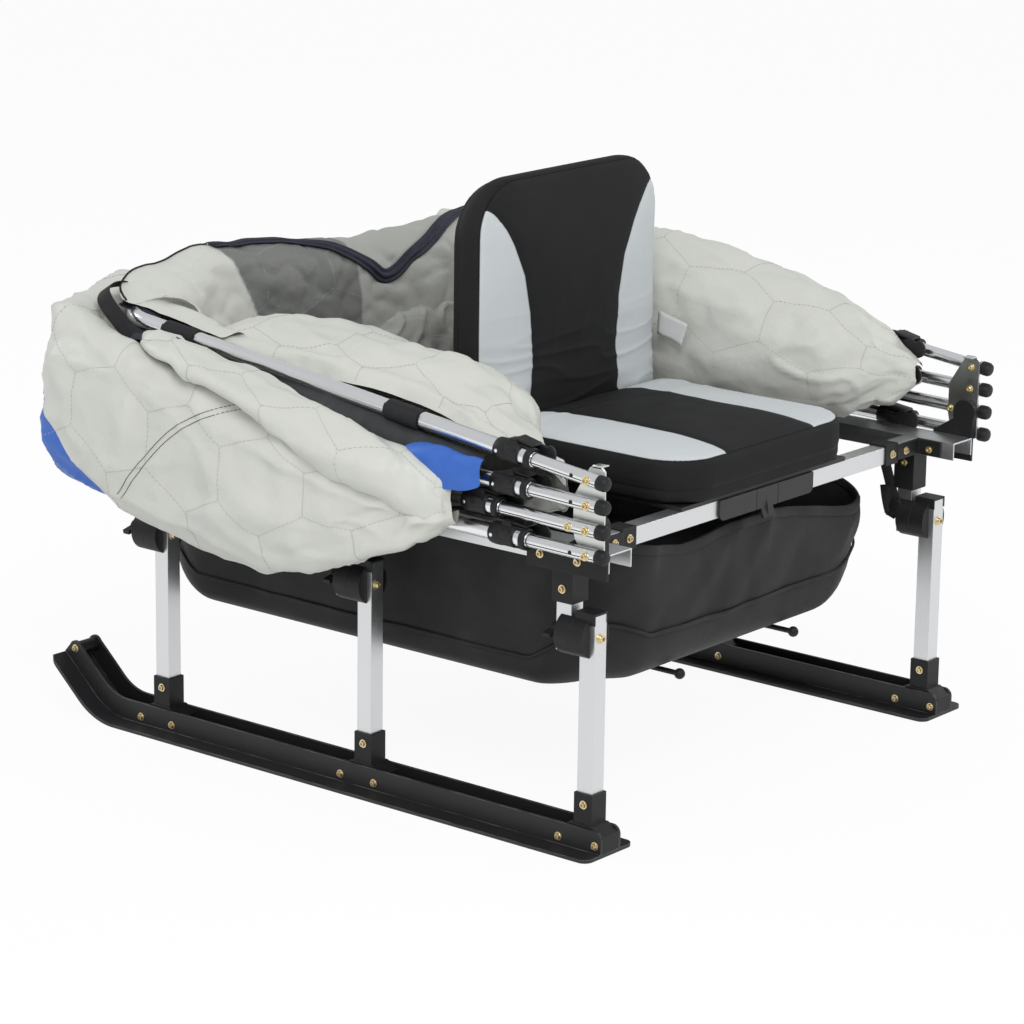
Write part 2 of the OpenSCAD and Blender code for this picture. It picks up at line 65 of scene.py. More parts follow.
class Signal:
    """A value that varies over a surface. Sums on it add Math nodes to its material."""

    def __init__(self, finish, socket):
        self.finish, self.socket = finish, socket

    def math(self, operation, *others):
        return self.finish.node("Math", {"operation": operation}, dict(enumerate((self, *others))))

    def from_number(self, operation, number):
        return self.finish.node("Math", {"operation": operation}, {0: number, 1: self})

    def __add__(self, other):
        return self.math("ADD", other)

    def __sub__(self, other):
        return self.math("SUBTRACT", other)

    def __mul__(self, other):
        return self.math("MULTIPLY", other)

    def __radd__(self, number):
        return self.from_number("ADD", number)

    def __rsub__(self, number):
        return self.from_number("SUBTRACT", number)

    def __rmul__(self, number):
        return self.from_number("MULTIPLY", number)

    def __abs__(self):
        return self.math("ABSOLUTE")

    def least(self, other):
        return self.math("MINIMUM", other)

    def most(self, other):
        return self.math("MAXIMUM", other)

    def sine(self):
        return self.math("SINE")

    def step(self, low, high):
        """0 below low, 1 above high, and smooth between."""
        return self.finish.node(
            "MapRange", {"interpolation_type": "SMOOTHSTEP"}, {"Value": self, "From Min": low, "From Max": high}
        )


class Finish:
    """A material while it is put together, on a Principled surface."""

    def __init__(self, name, surface):
        self.material = bpy.data.materials.new(name)
        self.material.use_nodes = True
        self.tree = self.material.node_tree
        self.surface = self.tree.nodes["Principled BSDF"]
        self.set(surface)

    def plug(self, socket, value):
        if isinstance(value, Signal):
            self.tree.links.new(value.socket, socket)
        elif hasattr(value, "__len__") and len(value) == 3 and socket.type == "RGBA":
            socket.default_value = (*value, 1)
        else:
            socket.default_value = value

    def set(self, sockets):
        for name, value in sockets.items():
            self.plug(self.surface.inputs[name], value)
        return self

    def node(self, kind, settings=None, sockets=None, out=0):
        """Adds a node of that kind, sets it up, and gives its output."""
        made = self.tree.nodes.new("ShaderNode" + kind)
        for name, value in (settings or {}).items():
            setattr(made, name, value)
        for name, value in (sockets or {}).items():
            self.plug(made.inputs[name], value)
        return Signal(self, made.outputs[out])

    def place(self):
        return self.node("TexCoord", out="Object")

    def axes(self, vector=None):
        """The three numbers of a vector, or of the place on the object."""
        made = self.node("SeparateXYZ", sockets={0: vector or self.place()})
        return [Signal(self, made.socket.node.outputs[k]) for k in range(3)]

    def noise(self, scale, detail=3, stretch=None, rough=0.5):
        """Cloudy noise from 0 to 1; stretch divides the scale along each axis."""
        where = self.place()
        if stretch:
            where = self.node("Mapping", sockets={"Vector": where, "Scale": [1 / s for s in stretch]})
        return self.node(
            "TexNoise", sockets={"Vector": where, "Scale": scale, "Detail": detail, "Roughness": rough}
        )

    def mix(self, share, first, second):
        """A colour that goes from first to second as share goes from 0 to 1."""
        made = self.node("Mix", {"data_type": "RGBA"}, {0: share}, out=2)
        for socket, value in ((6, first), (7, second)):
            self.plug(made.socket.node.inputs[socket], value)
        return made

    def bump(self, height, depth, over=None, strength=1):
        """A Bump node's normal; height is from 0 to 1 and depth is in metres."""
        sockets = {"Height": height, "Distance": depth, "Strength": strength}
        if over:
            sockets["Normal"] = over
        return self.node("Bump", sockets=sockets)

    def soft_edges(self, radius):
        """A normal that rounds the sharp edges of a machined or moulded piece."""
        return self.node("Bevel", {"samples": 4}, {"Radius": radius})

    def rubbed(self, rounded, low=0.004, high=0.08):
        """Near 1 on the edges that wear, from how far the rounded normal turns away."""
        true = self.node("NewGeometry", out="Normal")
        facing = self.node("VectorMath", {"operation": "DOT_PRODUCT"}, {0: rounded, 1: true}, out="Value")
        return (1 - facing).step(low, high)


def make_camera():
    back = Vector((sin(camera_azimuth) * cos(camera_rise), -cos(camera_azimuth) * cos(camera_rise),
                   sin(camera_rise)))
    right = Vector((cos(camera_azimuth), sin(camera_azimuth), 0))
    up = back.cross(right)
    across = right * cos(camera_roll) + up * sin(camera_roll)
    upward = up * cos(camera_roll) - right * sin(camera_roll)
    data = bpy.data.cameras.new("camera")
    data.lens, data.sensor_width = 132.38, 36
    data.clip_start, data.clip_end = 0.1, 100
    made = bpy.data.objects.new("camera", data)
    bpy.context.collection.objects.link(made)
    made.matrix_world = Matrix.Translation(camera_target + back * camera_distance) @ Matrix(
        (across, upward, back)).transposed().to_4x4()
    bpy.context.scene.camera = made


def soft_box(name, place, aim, size, power):
    data = bpy.data.lights.new(name, "AREA")
    data.shape, data.size, data.energy = "DISK", size, power
    made = bpy.data.objects.new(name, data)
    bpy.context.collection.objects.link(made)
    away = (Vector(place) - Vector(aim)).to_track_quat("Z", "Y")
    made.matrix_world = Matrix.Translation(place) @ away.to_matrix().to_4x4()


make_camera()
soft_box("key_box", (-2.6, -2.4, 3.6), (0, 0, 0.3), 2.2, 95)
soft_box("side_box", (3.6, -1.6, 2.2), (0, 0, 0.4), 1.8, 32)
soft_box("rear_box", (-1.2, 4.2, 2.6), (0, 0, 0.5), 2.0, 40)

room = bpy.data.worlds.new("room")
room.use_nodes = True
bpy.context.scene.world = room
room.node_tree.nodes["Background"].inputs["Color"].default_value = (0.97, 0.985, 1, 1)
room.node_tree.nodes["Background"].inputs["Strength"].default_value = 0.62
bpy.context.scene.view_settings.view_transform = "Standard"

# The paper shows white to the lens and in metal, and still takes the sled's shadow.
paper = Finish("paper", {"Base Color": (0.92, 0.92, 0.92), "Roughness": 0.9, "Specular IOR Level": 0.1})
rays = [Signal(paper, paper.node("LightPath").socket.node.outputs[n])
        for n in ("Is Camera Ray", "Is Glossy Ray", "Is Transmission Ray")]
glow = paper.node("Emission", sockets={"Color": (1, 1, 1), "Strength": 1.0})
seen = paper.node("MixShader", sockets={0: rays[0].most(rays[1]).most(rays[2]) * 0.93,
                                        1: Signal(paper, paper.surface.outputs[0]), 2: glow})
paper.tree.links.new(seen.socket, paper.tree.nodes["Material Output"].inputs["Surface"])
bpy.ops.mesh.primitive_plane_add(size=120)
floor = bpy.context.object
floor.name = "floor"
floor.data.materials.append(paper.material)

# ---- Skis ----
# Each ski is a black powder-coated aluminium runner: a flat sole with a channel of two upright
# walls, bent up at the towing end. The coat is worn to bright metal along the edges that rub.

mid_leg = sum(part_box("left_legs")[k].y for k in (0, 1)) / 2
ski_x = 0.415
leg_ys = (mid_leg - 0.4, mid_leg, mid_leg + 0.4)


def finish_node(finish, *names):
    """Paints CAD nodes with a finish."""
    for name in names:
        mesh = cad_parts[name].data
        mesh.materials.clear()
        mesh.materials.append(finish.material)


ski_coat = Finish("ski_black", {"Metallic": 0.0, "Specular IOR Level": 0.55})
rounded = ski_coat.soft_edges(0.0014)
worn = ski_coat.rubbed(rounded, 0.01, 0.12) * ski_coat.noise(26, 4).step(0.36, 0.62)
scuffs = ski_coat.noise(60, 5, stretch=(1, 9, 1)).step(0.66, 0.82) * 0.16
grain = ski_coat.noise(900, 2)
ski_coat.set({
    "Base Color": ski_coat.mix((worn * 0.55 + scuffs).least(1), (0.011, 0.011, 0.012), (0.30, 0.31, 0.31)),
    "Roughness": 0.46 + ski_coat.noise(14, 3) * 0.12 - worn * 0.14,
    "Normal": ski_coat.bump(grain, 0.0002, over=rounded, strength=0.5)})
finish_node(ski_coat, "left_ski_runner", "right_ski_runner")

# Glass-filled nylon feet, knuckles, knobs and brackets, with the fine matt grain of the mould.
nylon = Finish("moulded_black", {"Specular IOR Level": 0.28})
rounded = nylon.soft_edges(0.0016)
nylon.set({
    "Base Color": nylon.mix(nylon.rubbed(rounded, 0.03, 0.2) * 0.35, (0.013, 0.013, 0.014), (0.09, 0.09, 0.095)),
    "Roughness": 0.42 + nylon.noise(40, 4) * 0.14,
    "Normal": nylon.bump(nylon.noise(1100, 2), 0.00018, over=rounded, strength=0.6)})
finish_node(nylon, "left_ski_blocks", "right_ski_blocks", "left_leg_knuckles", "right_leg_knuckles",
            "left_post_knuckles", "right_post_knuckles", "left_wing_knobs", "right_wing_knobs",
            "left_bar_brackets", "right_bar_brackets", "left_hub_bracket", "right_hub_bracket",
            "left_leg_brackets", "right_leg_brackets")

# ---- Legs, rails and bars ----
# Square legs and cross bars are drawn aluminium tube and the rails are bent sheet channel, all
# satin anodised, with faint die lines along their length.


def anodised(name, along, colour=(0.80, 0.81, 0.82), rough=0.30):
    """Satin aluminium drawn along one axis."""
    made = Finish(name, {"Metallic": 1.0})
    edges = made.soft_edges(0.0012)
    stretch = [0.02 if k != along else 3 for k in range(3)]
    lines = made.noise(14, 3, stretch=stretch)
    clouds = made.noise(7, 3)
    made.set({
        "Base Color": made.mix(lines * 0.5 + clouds * 0.3, [c * 0.86 for c in colour], colour),
        "Roughness": rough + lines * 0.10 + clouds * 0.05,
        "Normal": made.bump(lines, 0.00012, over=edges, strength=0.5)})
    return made


finish_node(anodised("leg_aluminium", 2), "left_legs", "right_legs", "left_posts", "right_posts")
finish_node(anodised("rail_aluminium", 1), "left_rail", "right_rail")
finish_node(anodised("bar_aluminium", 0), "seat_end_bar", "seat_support_bar", "tow_end_bar")

# ---- Bolts and nuts ----
# Yellow zinc-plated M6 fasteners: a flanged head with a hexagon recess in its crown. The same
# shape stands for the nut on the thread's other end.

zinc = Finish("bolt_zinc", {"Metallic": 1.0})
tarnish = zinc.noise(420, 3)
zinc.set({
    "Base Color": zinc.mix(tarnish.step(0.35, 0.7), (0.78, 0.62, 0.30), (0.82, 0.74, 0.56)),
    "Roughness": 0.22 + tarnish * 0.2})


class NodeWork:
    """A geometry node tree while it is put together, with its inputs named."""

    def __init__(self, name, inputs):
        self.tree = bpy.data.node_groups.new(name, "GeometryNodeTree")
        face = self.tree.interface
        face.new_socket("Geometry", in_out="INPUT", socket_type="NodeSocketGeometry")
        face.new_socket("Geometry", in_out="OUTPUT", socket_type="NodeSocketGeometry")
        self.keys = {n: face.new_socket(n, in_out="INPUT", socket_type="NodeSocket" + k) for n, k in inputs.items()}
        self.start = self.tree.nodes.new("NodeGroupInput")
        self.end = self.tree.nodes.new("NodeGroupOutput")

    def node(self, kind, settings=None, sockets=None):
        """Adds a node of that kind, sets it up, and gives its first output."""
        made = self.tree.nodes.new(kind)
        for name, value in (settings or {}).items():
            setattr(made, name, value)
        for name, value in (sockets or {}).items():
            for part in value if isinstance(value, list) else [value]:
                if isinstance(part, bpy.types.NodeSocket):
                    self.tree.links.new(part, made.inputs[name])
                else:
                    made.inputs[name].default_value = part
        return made.outputs[0]

    def read(self, name, kind="FLOAT"):
        return self.node("GeometryNodeInputNamedAttribute", {"data_type": kind}, {"Name": name})

    def finish(self, shape, material):
        """Sets the shape on every marked point, turned the way the point faces, and paints it."""
        turned = self.node("FunctionNodeAlignRotationToVector", {"axis": "Z"},
                           {"Vector": self.read("facing", "FLOAT_VECTOR")})
        placed = self.node("GeometryNodeInstanceOnPoints", {}, {
            "Points": self.start.outputs["Geometry"], "Instance": shape, "Rotation": turned,
            "Scale": self.read("size")})
        real = self.node("GeometryNodeRealizeInstances", sockets={"Geometry": placed})
        painted = self.node("GeometryNodeSetMaterial", sockets={"Geometry": real, "Material": material})
        self.tree.links.new(painted, self.end.inputs[0])

    def run(self, name, mesh, values):
        """Applies the tree to a mesh with these inputs, and gives the plain result."""
        maker = bpy.data.objects.new(name + "_maker", mesh)
        bpy.context.collection.objects.link(maker)
        work = maker.modifiers.new("work", "NODES")
        work.node_group = self.tree
        for key, value in values.items():
            work[self.keys[key].identifier] = value
        bpy.context.view_layer.update()
        made = bpy.data.meshes.new_from_object(maker.evaluated_get(bpy.context.evaluated_depsgraph_get()))
        maker.modifiers.remove(work)
        bpy.data.objects.remove(maker)
        made.name = name
        result = bpy.data.objects.new(name, made)
        bpy.context.collection.objects.link(result)
        return result


def number_points(mesh, name, values):
    """Gives each point a number that the mesh's material or node tree reads by that name."""
    mesh.attributes.new(name, "FLOAT", "POINT").data.foreach_set("value", np.array(values, np.float32))


def marks(rows):
    """A mesh of loose points; a row is a place, the way it faces and its size."""
    places, facings, sizes = zip(*rows)
    mesh = bpy.data.meshes.new("marks")
    mesh.from_pydata([tuple(p) for p in places], [], [])
    facing = mesh.attributes.new("facing", "FLOAT_VECTOR", "POINT")
    facing.data.foreach_set("vector", np.array(facings, np.float32).ravel())
    number_points(mesh, "size", sizes)
    return mesh


bolt_work = NodeWork("flanged_bolts", {"Head radius": "Float", "Head height": "Float", "Hexagon": "Float"})
radius, height, recess_radius = (bolt_work.start.outputs[n] for n in ("Head radius", "Head height", "Hexagon"))
round_sides, hexagon_sides = 24, 6


def scaled(value, factor):
    return bolt_work.node("ShaderNodeMath", {"operation": "MULTIPLY"}, {0: value, 1: factor})


flange = bolt_work.node("GeometryNodeMeshCylinder", {}, {
    "Vertices": round_sides, "Radius": scaled(radius, 1.32), "Depth": scaled(height, 0.36)})
crown = bolt_work.node("GeometryNodeMeshCone", {}, {
    "Vertices": round_sides, "Radius Top": scaled(radius, 0.8), "Radius Bottom": radius, "Depth": height})
recess = bolt_work.node("GeometryNodeMeshCylinder", {}, {
    "Vertices": hexagon_sides, "Radius": recess_radius, "Depth": height})
lift = bolt_work.node("ShaderNodeCombineXYZ", {}, {"Z": scaled(height, 0.55)})
recess = bolt_work.node("GeometryNodeTransform", {}, {"Geometry": recess, "Translation": lift})
crown = bolt_work.node("GeometryNodeMeshBoolean", {"operation": "DIFFERENCE", "solver": "EXACT"},
                       {"Mesh 1": crown, "Mesh 2": recess})
whole = bolt_work.node("GeometryNodeJoinGeometry", {}, {"Geometry": [flange, crown]})
bolt_work.finish(whole, zinc.material)


def bolts(name, body, rows):
    """Bolt heads on one body; a row is a place, the way it faces and its size."""
    made = bolt_work.run(name, marks(rows), {"Head radius": 0.0046, "Head height": 0.0042, "Hexagon": 0.0026})
    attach(made, body)


# On the skis: two through the channel by each leg, one through each foot, one behind each knuckle
# and one at the tip. Each is so far out from the ski's middle, along from the leg, and up.
channel_x, channel_ys, channel_z = 0.022, (-0.0267, 0.0369), 0.016
foot_x, foot_y, foot_z = 0.0157, -0.001, 0.068
knuckle_y, knuckle_z, knuckle_size = -0.0127, 0.303, 1.25
tip_bolt = (mid_leg + 0.575, 0.095)
both_sides = ((-1, "left"), (1, "right"))
for side, name in both_sides:
    rows = []
    for out in (-1, 1):
        wall_x = side * ski_x + out * channel_x
        for y in leg_ys:
            rows += [((wall_x, y + along, channel_z), (out, 0, 0), 1) for along in channel_ys]
            rows.append(((side * ski_x + out * foot_x, y + foot_y, foot_z), (out, 0, 0), 1))
        rows.append(((wall_x, *tip_bolt), (out, 0, 0), 1))
    rows += [((side * ski_x, y + knuckle_y, knuckle_z), (0, -1, 0), knuckle_size) for y in leg_ys]
    bolts(name + "_ski_bolts", name + "_ski", rows)

# On the frame: two through each rail plate, one each side of a post's socket, and three through
# the bracket at each end of a bar.
rail_out, plate_ys, plate_z = 0.449, (-0.038, 0.026), 0.4145
post_y, socket_x, outer_socket_z, inner_socket_z = 0.041, 0.0175, 0.366, 0.388
bracket_bolts = ((0.3215, -0.0028), (0.356, -0.004))
bracket_z, corner_bolt, corner_z = 0.4193, (0.391, -0.022), 0.4165
rows = []
for side, _ in both_sides:
    for y in leg_ys:
        rows += [((side * rail_out, y + post_y + along, plate_z), (side, 0, 0), 1) for along in plate_ys]
        rows += [((side * (ski_x + socket_x), y + post_y, outer_socket_z), (side, 0, 0), 1),
                 ((side * (ski_x - socket_x), y + post_y, inner_socket_z), (-side, 0, 0), 1)]
    for bar in ("seat_end_bar", "seat_support_bar", "tow_end_bar"):
        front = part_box(bar)[0].y
        rows += [((side * x, front + y, bracket_z), (0, -1, 0), 1) for x, y in bracket_bolts]
        rows.append(((side * corner_bolt[0], front + corner_bolt[1], corner_z), (-side, 0, 0), 1))
bolts("frame_bolts", "frame", rows)

# ---- Seat ----
# A foam seat on a steel pan and a foam back hinged behind it, in sewn covers: black polyester
# with a light grey panel down each side, a felled seam round the face and a zip near the base.

cushion_edge = 0.010


def rounded_ring(half_u, half_v, corners, inset):
    """Points round a rectangle with rounded corners, drawn in by inset."""
    ring = []
    for turn, (su, sv) in enumerate(((1, 1), (-1, 1), (-1, -1), (1, -1))):
        corner = corners[0 if sv < 0 else 1]
        bend = max(corner - inset, 0.0008)
        cu, cv = max(half_u - inset - bend, 0.0004), max(half_v - inset - bend, 0.0004)
        for angle in np.linspace(turn * pi / 2, (turn + 1) * pi / 2, 22):
            ring.append((su * cu + bend * cos(angle), sv * cv + bend * sin(angle)))
    return ring


def inset_from(u, v, half_u, half_v, corners):
    """How far inside the rounded rectangle a point is."""
    corner = np.where(v < 0, corners[0], corners[1])
    over = np.array([np.abs(u) - half_u + corner, np.abs(v) - half_v + corner])
    return corner - np.hypot(*np.maximum(over, 0)) - np.minimum(over.max(0), 0)


def put_mesh(name, points, faces):
    mesh = bpy.data.meshes.new(name)
    mesh.from_pydata([tuple(p) for p in points], [], faces)
    mesh.polygons.foreach_set("use_smooth", [True] * len(mesh.polygons))
    made = bpy.data.objects.new(name, mesh)
    bpy.context.collection.objects.link(made)
    return made


def kept_with(piece, kind, **settings):
    """Applies one modifier to a piece."""
    work = piece.modifiers.new("work", kind)
    for key, value in settings.items():
        setattr(work, key, value)
    mesh = bpy.data.meshes.new_from_object(piece.evaluated_get(bpy.context.evaluated_depsgraph_get()))
    piece.modifiers.remove(work)
    piece.data, old = mesh, piece.data
    mesh.name = piece.name
    bpy.data.meshes.remove(old)
    mesh.polygons.foreach_set("use_smooth", [True] * len(mesh.polygons))


def vectors_of(mesh, key):
    flat = np.empty(len(mesh.vertices) * 3, np.float32)
    mesh.vertices.foreach_get(key, flat)
    return flat.reshape(-1, 3).astype(float)


def points_of(mesh):
    return vectors_of(mesh, "co")


def normals_of(mesh):
    return vectors_of(mesh, "normal")


def move_points(mesh, points):
    mesh.vertices.foreach_set("co", np.asarray(points, np.float32).ravel())
    mesh.update()


def ridges(points, seed, size):
    """Sharp-crested folds: near 1 along thin wandering lines and under 0 between them.

    size is the spacing of the folds along each axis."""
    at = points / np.array(size) + seed
    return np.array([(1 - abs(noise.noise(p)) * 2.2) ** 3 * 0.9 for p in at.tolist()])


def run_cloth(piece, hold, frames, cap, swell=0.0, pressure=0.0, weight=0.0, bending=0.5):
    """Runs the cloth simulation on a piece and keeps its result, each point moved at most cap.

    hold pins each point, from 0 to 1, and swell is the share by which the cloth is cut larger."""
    mesh = piece.data
    rest = points_of(mesh)
    pins = piece.vertex_groups.new(name="held")
    levels = np.round(hold, 2)
    for level in np.unique(levels):
        pins.add(np.flatnonzero(levels == level).tolist(), float(level), "REPLACE")
    stretch = 15
    cloth = piece.modifiers.new("cloth", "CLOTH")
    s = cloth.settings
    s.quality, s.mass = 5, 0.2
    s.tension_stiffness = s.compression_stiffness = stretch
    s.shear_stiffness, s.bending_stiffness = stretch / 3, bending
    s.tension_damping = s.compression_damping = 8
    s.air_damping = 2
    s.shrink_min = s.shrink_max = -swell
    s.vertex_group_mass, s.pin_stiffness = "held", 1
    s.use_pressure, s.uniform_pressure_force = pressure > 0, pressure
    s.effector_weights.gravity = weight
    cloth.collision_settings.use_collision = False
    cloth.point_cache.frame_start, cloth.point_cache.frame_end = 1, frames
    for number in range(1, frames + 1):
        bpy.context.scene.frame_set(number)
    sewn = piece.evaluated_get(bpy.context.evaluated_depsgraph_get())
    step = points_of(sewn.to_mesh()) - rest
    sewn.to_mesh_clear()
    piece.modifiers.remove(cloth)
    piece.vertex_groups.remove(pins)
    bpy.context.scene.frame_set(1)
    far = np.linalg.norm(step, axis=1)[:, None]
    move_points(mesh, rest + step * cap * np.tanh(far / cap) / np.maximum(far, 1e-9))


def cushion(name, half_u, half_v, corners, thick, crown, bulge, laid, panel, zip_at):
    """A sewn foam pad. Its face is drawn in u and v and laid turns u, v and depth into a place.

    panel gives the half width of the black middle at each v. Seams pull in, and the cover swells
    between them under pressure."""
    half_u, half_v = half_u - 0.003, half_v - 0.003
    edge = cushion_edge
    rows = []  # Each ring's inset and depth: the face, its edge, the side wall, the back's edge, the back.
    deepest = min(half_u, half_v) - 0.001
    for inset in np.linspace(deepest, edge, 12)[:-1]:
        rows.append((inset, crown * (1 - min(1, (inset - edge) / 0.11)) ** 2.2))
    for angle in np.linspace(0, pi / 2, 6):
        rows.append((edge * (1 - sin(angle)), crown + edge * (1 - cos(angle))))
    for share in np.linspace(0, 1, 8)[1:-1]:
        rows.append((-bulge * sin(pi * share), crown + edge + share * (thick - crown - 2 * edge)))
    for angle in np.linspace(pi / 2, 0, 6):
        rows.append((edge * (1 - sin(angle)), thick - edge * (1 - cos(angle))))
    for inset in np.linspace(edge, deepest, 8)[1:]:
        rows.append((inset, thick))
    rings = [[(u, v, depth) for u, v in rounded_ring(half_u, half_v, corners, inset)] for inset, depth in rows]
    count = len(rings[0])
    faces = [(k * count + j, k * count + (j + 1) % count, (k + 1) * count + (j + 1) % count, (k + 1) * count + j)
             for k in range(len(rings) - 1) for j in range(count)]
    faces += [tuple(range(count)), tuple((len(rings) - 1) * count + j for j in range(count))]
    made = put_mesh(name, [p for ring in rings for p in ring], faces)
    kept_with(made, "REMESH", mode="VOXEL", voxel_size=0.0055)
    mesh = made.data
    u, v, depth = points_of(mesh).T
    inset = inset_from(u, v, half_u, half_v, corners)
    on_face = inset > depth - crown
    band = inset - (depth - crown)
    side = np.abs(u) - np.interp(v, *panel)
    hold = np.where((np.abs(band) < 0.004) | (on_face & (np.abs(side) < 0.004) & (band > 0)), 1.0, 0.0)
    hold = np.where(np.abs(depth - zip_at) < 0.003, 1.0, hold)
    hold = np.where(depth > thick - 0.004, 1.0, hold)
    for key, values in (("band", band), ("side", side), ("zip", depth - zip_at)):
        number_points(mesh, key, values)
    run_cloth(made, hold, 20, 0.009, pressure=4)
    groove = 0.0026 * np.exp(-(band / 0.005) ** 2) + 0.0016 * np.exp(-((depth - zip_at) / 0.004) ** 2)
    groove += np.where(on_face, 0.0022 * np.exp(-(side / 0.006) ** 2), 0)
    move_points(mesh, points_of(mesh) - normals_of(mesh) * groove[:, None])
    kept_with(made, "SUBSURF", levels=1, render_levels=1)
    mesh = made.data
    move_points(mesh, laid(*points_of(mesh).T))
    if np.linalg.det(np.array(laid(*np.eye(3))) - laid(*np.zeros((3, 1))).T) < 0:
        mesh.flip_normals()
    return made


def crease(piece, seed, size, depth, where):
    """Presses soft creases into a cover; where gives their share at each point."""
    mesh = piece.data
    places = points_of(mesh)
    lift = ridges(places, seed, size) * depth * where(*places.T)
    move_points(mesh, places + normals_of(mesh) * lift[:, None])


def square_weave(finish, rate):
    """A square weave from 0 to 1, with that many radians of thread in a metre."""
    x, y, z = [(axis * rate).sine() for axis in finish.axes()]
    return (x * y + y * z + z * x) * 0.25 + 0.5


def cover_finish(name, black, grey):
    """Coated polyester with a fine square weave; grey side panels, and stitches in the seams."""
    made = Finish(name, {"Specular IOR Level": 0.16})
    band, side, zipper = (made.node("Attribute", {"attribute_name": n}, out="Fac") for n in ("band", "side", "zip"))
    weave = square_weave(made, 4200)
    panel = side.step(-0.0004, 0.0004) * band.step(-0.0004, 0.0004)
    seam = (abs(band).step(0, 0.0022) * (1 - (1 - abs(side).step(0, 0.0022)) * band.step(-0.001, 0.001)))
    teeth = 1 - abs(zipper).step(0.0012, 0.0026)
    cord = 1 - abs(band + 0.0028).step(0.0006, 0.0022)
    faded = made.noise(9, 4) * 0.5 + made.noise(60, 3) * 0.2
    dark = made.mix(faded, black, [c * 1.9 + 0.004 for c in black])
    light = made.mix(faded, grey, [c * 0.86 for c in grey])
    cloth = made.mix(panel, dark, light)
    made.set({
        "Base Color": made.mix((1 - seam) * 0.75 + teeth * 0.6, cloth, (0.006, 0.006, 0.007)),
        "Roughness": 0.66 + made.noise(30, 2) * 0.12 - teeth * 0.2,
        "Normal": made.bump(weave, 0.00022, strength=0.5,
                            over=made.bump(seam + cord * 0.5 + teeth * 0.4, 0.0011, strength=0.8))})
    return made


cover = cover_finish("seat_cover", (0.0105, 0.0105, 0.0112), (0.60, 0.632, 0.64))
low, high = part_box("seat_cushion")
seat_mid = (low + high) / 2
seat_top = high.z + 0.002
seat_half_v = (high.y - low.y) / 2
seat_pad = cushion(
    "seat_pad", high.x, seat_half_v, (0.072, 0.030), seat_top - low.z, 0.009, 0.002,
    lambda u, v, depth: np.stack([u, seat_mid.y + v, seat_top - depth], axis=1),
    ([-0.2, -0.18, -0.15, 0.0, 0.12, 0.2], [0.118, 0.107, 0.103, 0.098, 0.103, 0.112]),
    seat_top - low.z - 0.022)
crease(seat_pad, 4.2, (0.22, 0.035, 0.05), 0.0020, lambda x, y, z: np.clip((y - seat_mid.y) / 0.12, 0.12, 1))
seat_pad.data.materials.append(cover.material)
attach(seat_pad, "frame")
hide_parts("seat_cushion")

low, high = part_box("backrest_cushion")
back_mid = (low + high) / 2
back_half_v = (high.z - low.z) / 2
back_pad = cushion(
    "back_pad", high.x, back_half_v, (0.030, 0.082), high.y - low.y + 0.003, 0.010, 0.003,
    lambda u, v, depth: np.stack([u, low.y - 0.005 + depth - 0.0045 * np.clip((-0.09 - v) / 0.06, 0, 1)
                                  * np.clip(1 - depth / 0.03, 0, 1), back_mid.z - 0.003 + v * 0.985
                                  - 0.013 * np.clip(depth / 0.06, 0, 1) ** 1.6 * np.clip(v / 0.12, 0, 1)], axis=1),
    ([-0.2, -0.12, -0.084, -0.007, 0.052, 0.10, 0.125, 0.150, 0.160, 0.166],
     [0.108, 0.102, 0.098, 0.104, 0.117, 0.140, 0.156, 0.178, 0.193, 0.260]),
    high.y - low.y - 0.012)
crease(back_pad, 1.7, (0.16, 0.06, 0.028), 0.0022,
       lambda x, y, z: np.clip((0.67 - z) / 0.10, 0.08, 1) * (y < back_mid.y))
crease(back_pad, 8.3, (0.05, 0.06, 0.12), 0.0016,
       lambda x, y, z: np.exp(-((x / 0.11) ** 2 + ((z - 0.63) / 0.05) ** 2)) * (y < back_mid.y))
back_pad.data.materials.append(cover.material)
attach(back_pad, "backrest")
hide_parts("backrest_cushion")
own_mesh(back_pad)

# The pan, its hook plate and the hinge leaves are black powder-coated steel.
steel_coat = Finish("black_steel", {"Specular IOR Level": 0.5})
rounded = steel_coat.soft_edges(0.0012)
steel_coat.set({
    "Base Color": steel_coat.mix(steel_coat.rubbed(rounded, 0.05, 0.3) * 0.3, (0.012, 0.012, 0.013),
                                 (0.16, 0.16, 0.165)),
    "Roughness": 0.40 + steel_coat.noise(50, 3) * 0.12,
    "Normal": steel_coat.bump(steel_coat.noise(1400, 2), 0.00012, over=rounded, strength=0.6)})
finish_node(steel_coat, "seat_pan", "seat_hanger", "seat_hinge_leaves", "backrest_hinge_leaves")

# ---- Cargo bag ----
# A coated black fabric bag hangs in the deck: its sides are caught under the rails and the front
# rim on the seat's hook, so the hemmed rim dips between them. The floor lies on two rods.

bag_low, bag_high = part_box("cargo_bag")
bag_half_u, bag_half_v = 0.3675, (bag_high.y - bag_low.y) / 2 - 0.002
bag_mid_y = (bag_low.y + bag_high.y) / 2
bag_floor = bag_low.z + 0.0012
bag_corners = (0.140, 0.125)


def even_ring(half_u, half_v, corners, step):
    """Evenly spaced points round a rounded rectangle, anticlockwise from the middle of its front."""
    ring = np.array(rounded_ring(half_u, half_v, corners, 0))
    start = np.array([[0, -half_v]])
    ring = np.vstack([start, np.roll(ring, -66, axis=0), start])
    run = np.concatenate([[0], np.cumsum(np.hypot(*np.diff(ring, axis=0).T))])
    at = np.linspace(0, run[-1], int(run[-1] / step) + 1)[:-1]
    return np.stack([np.interp(at, run, ring[:, k]) for k in (0, 1)], axis=1), at / run[-1]


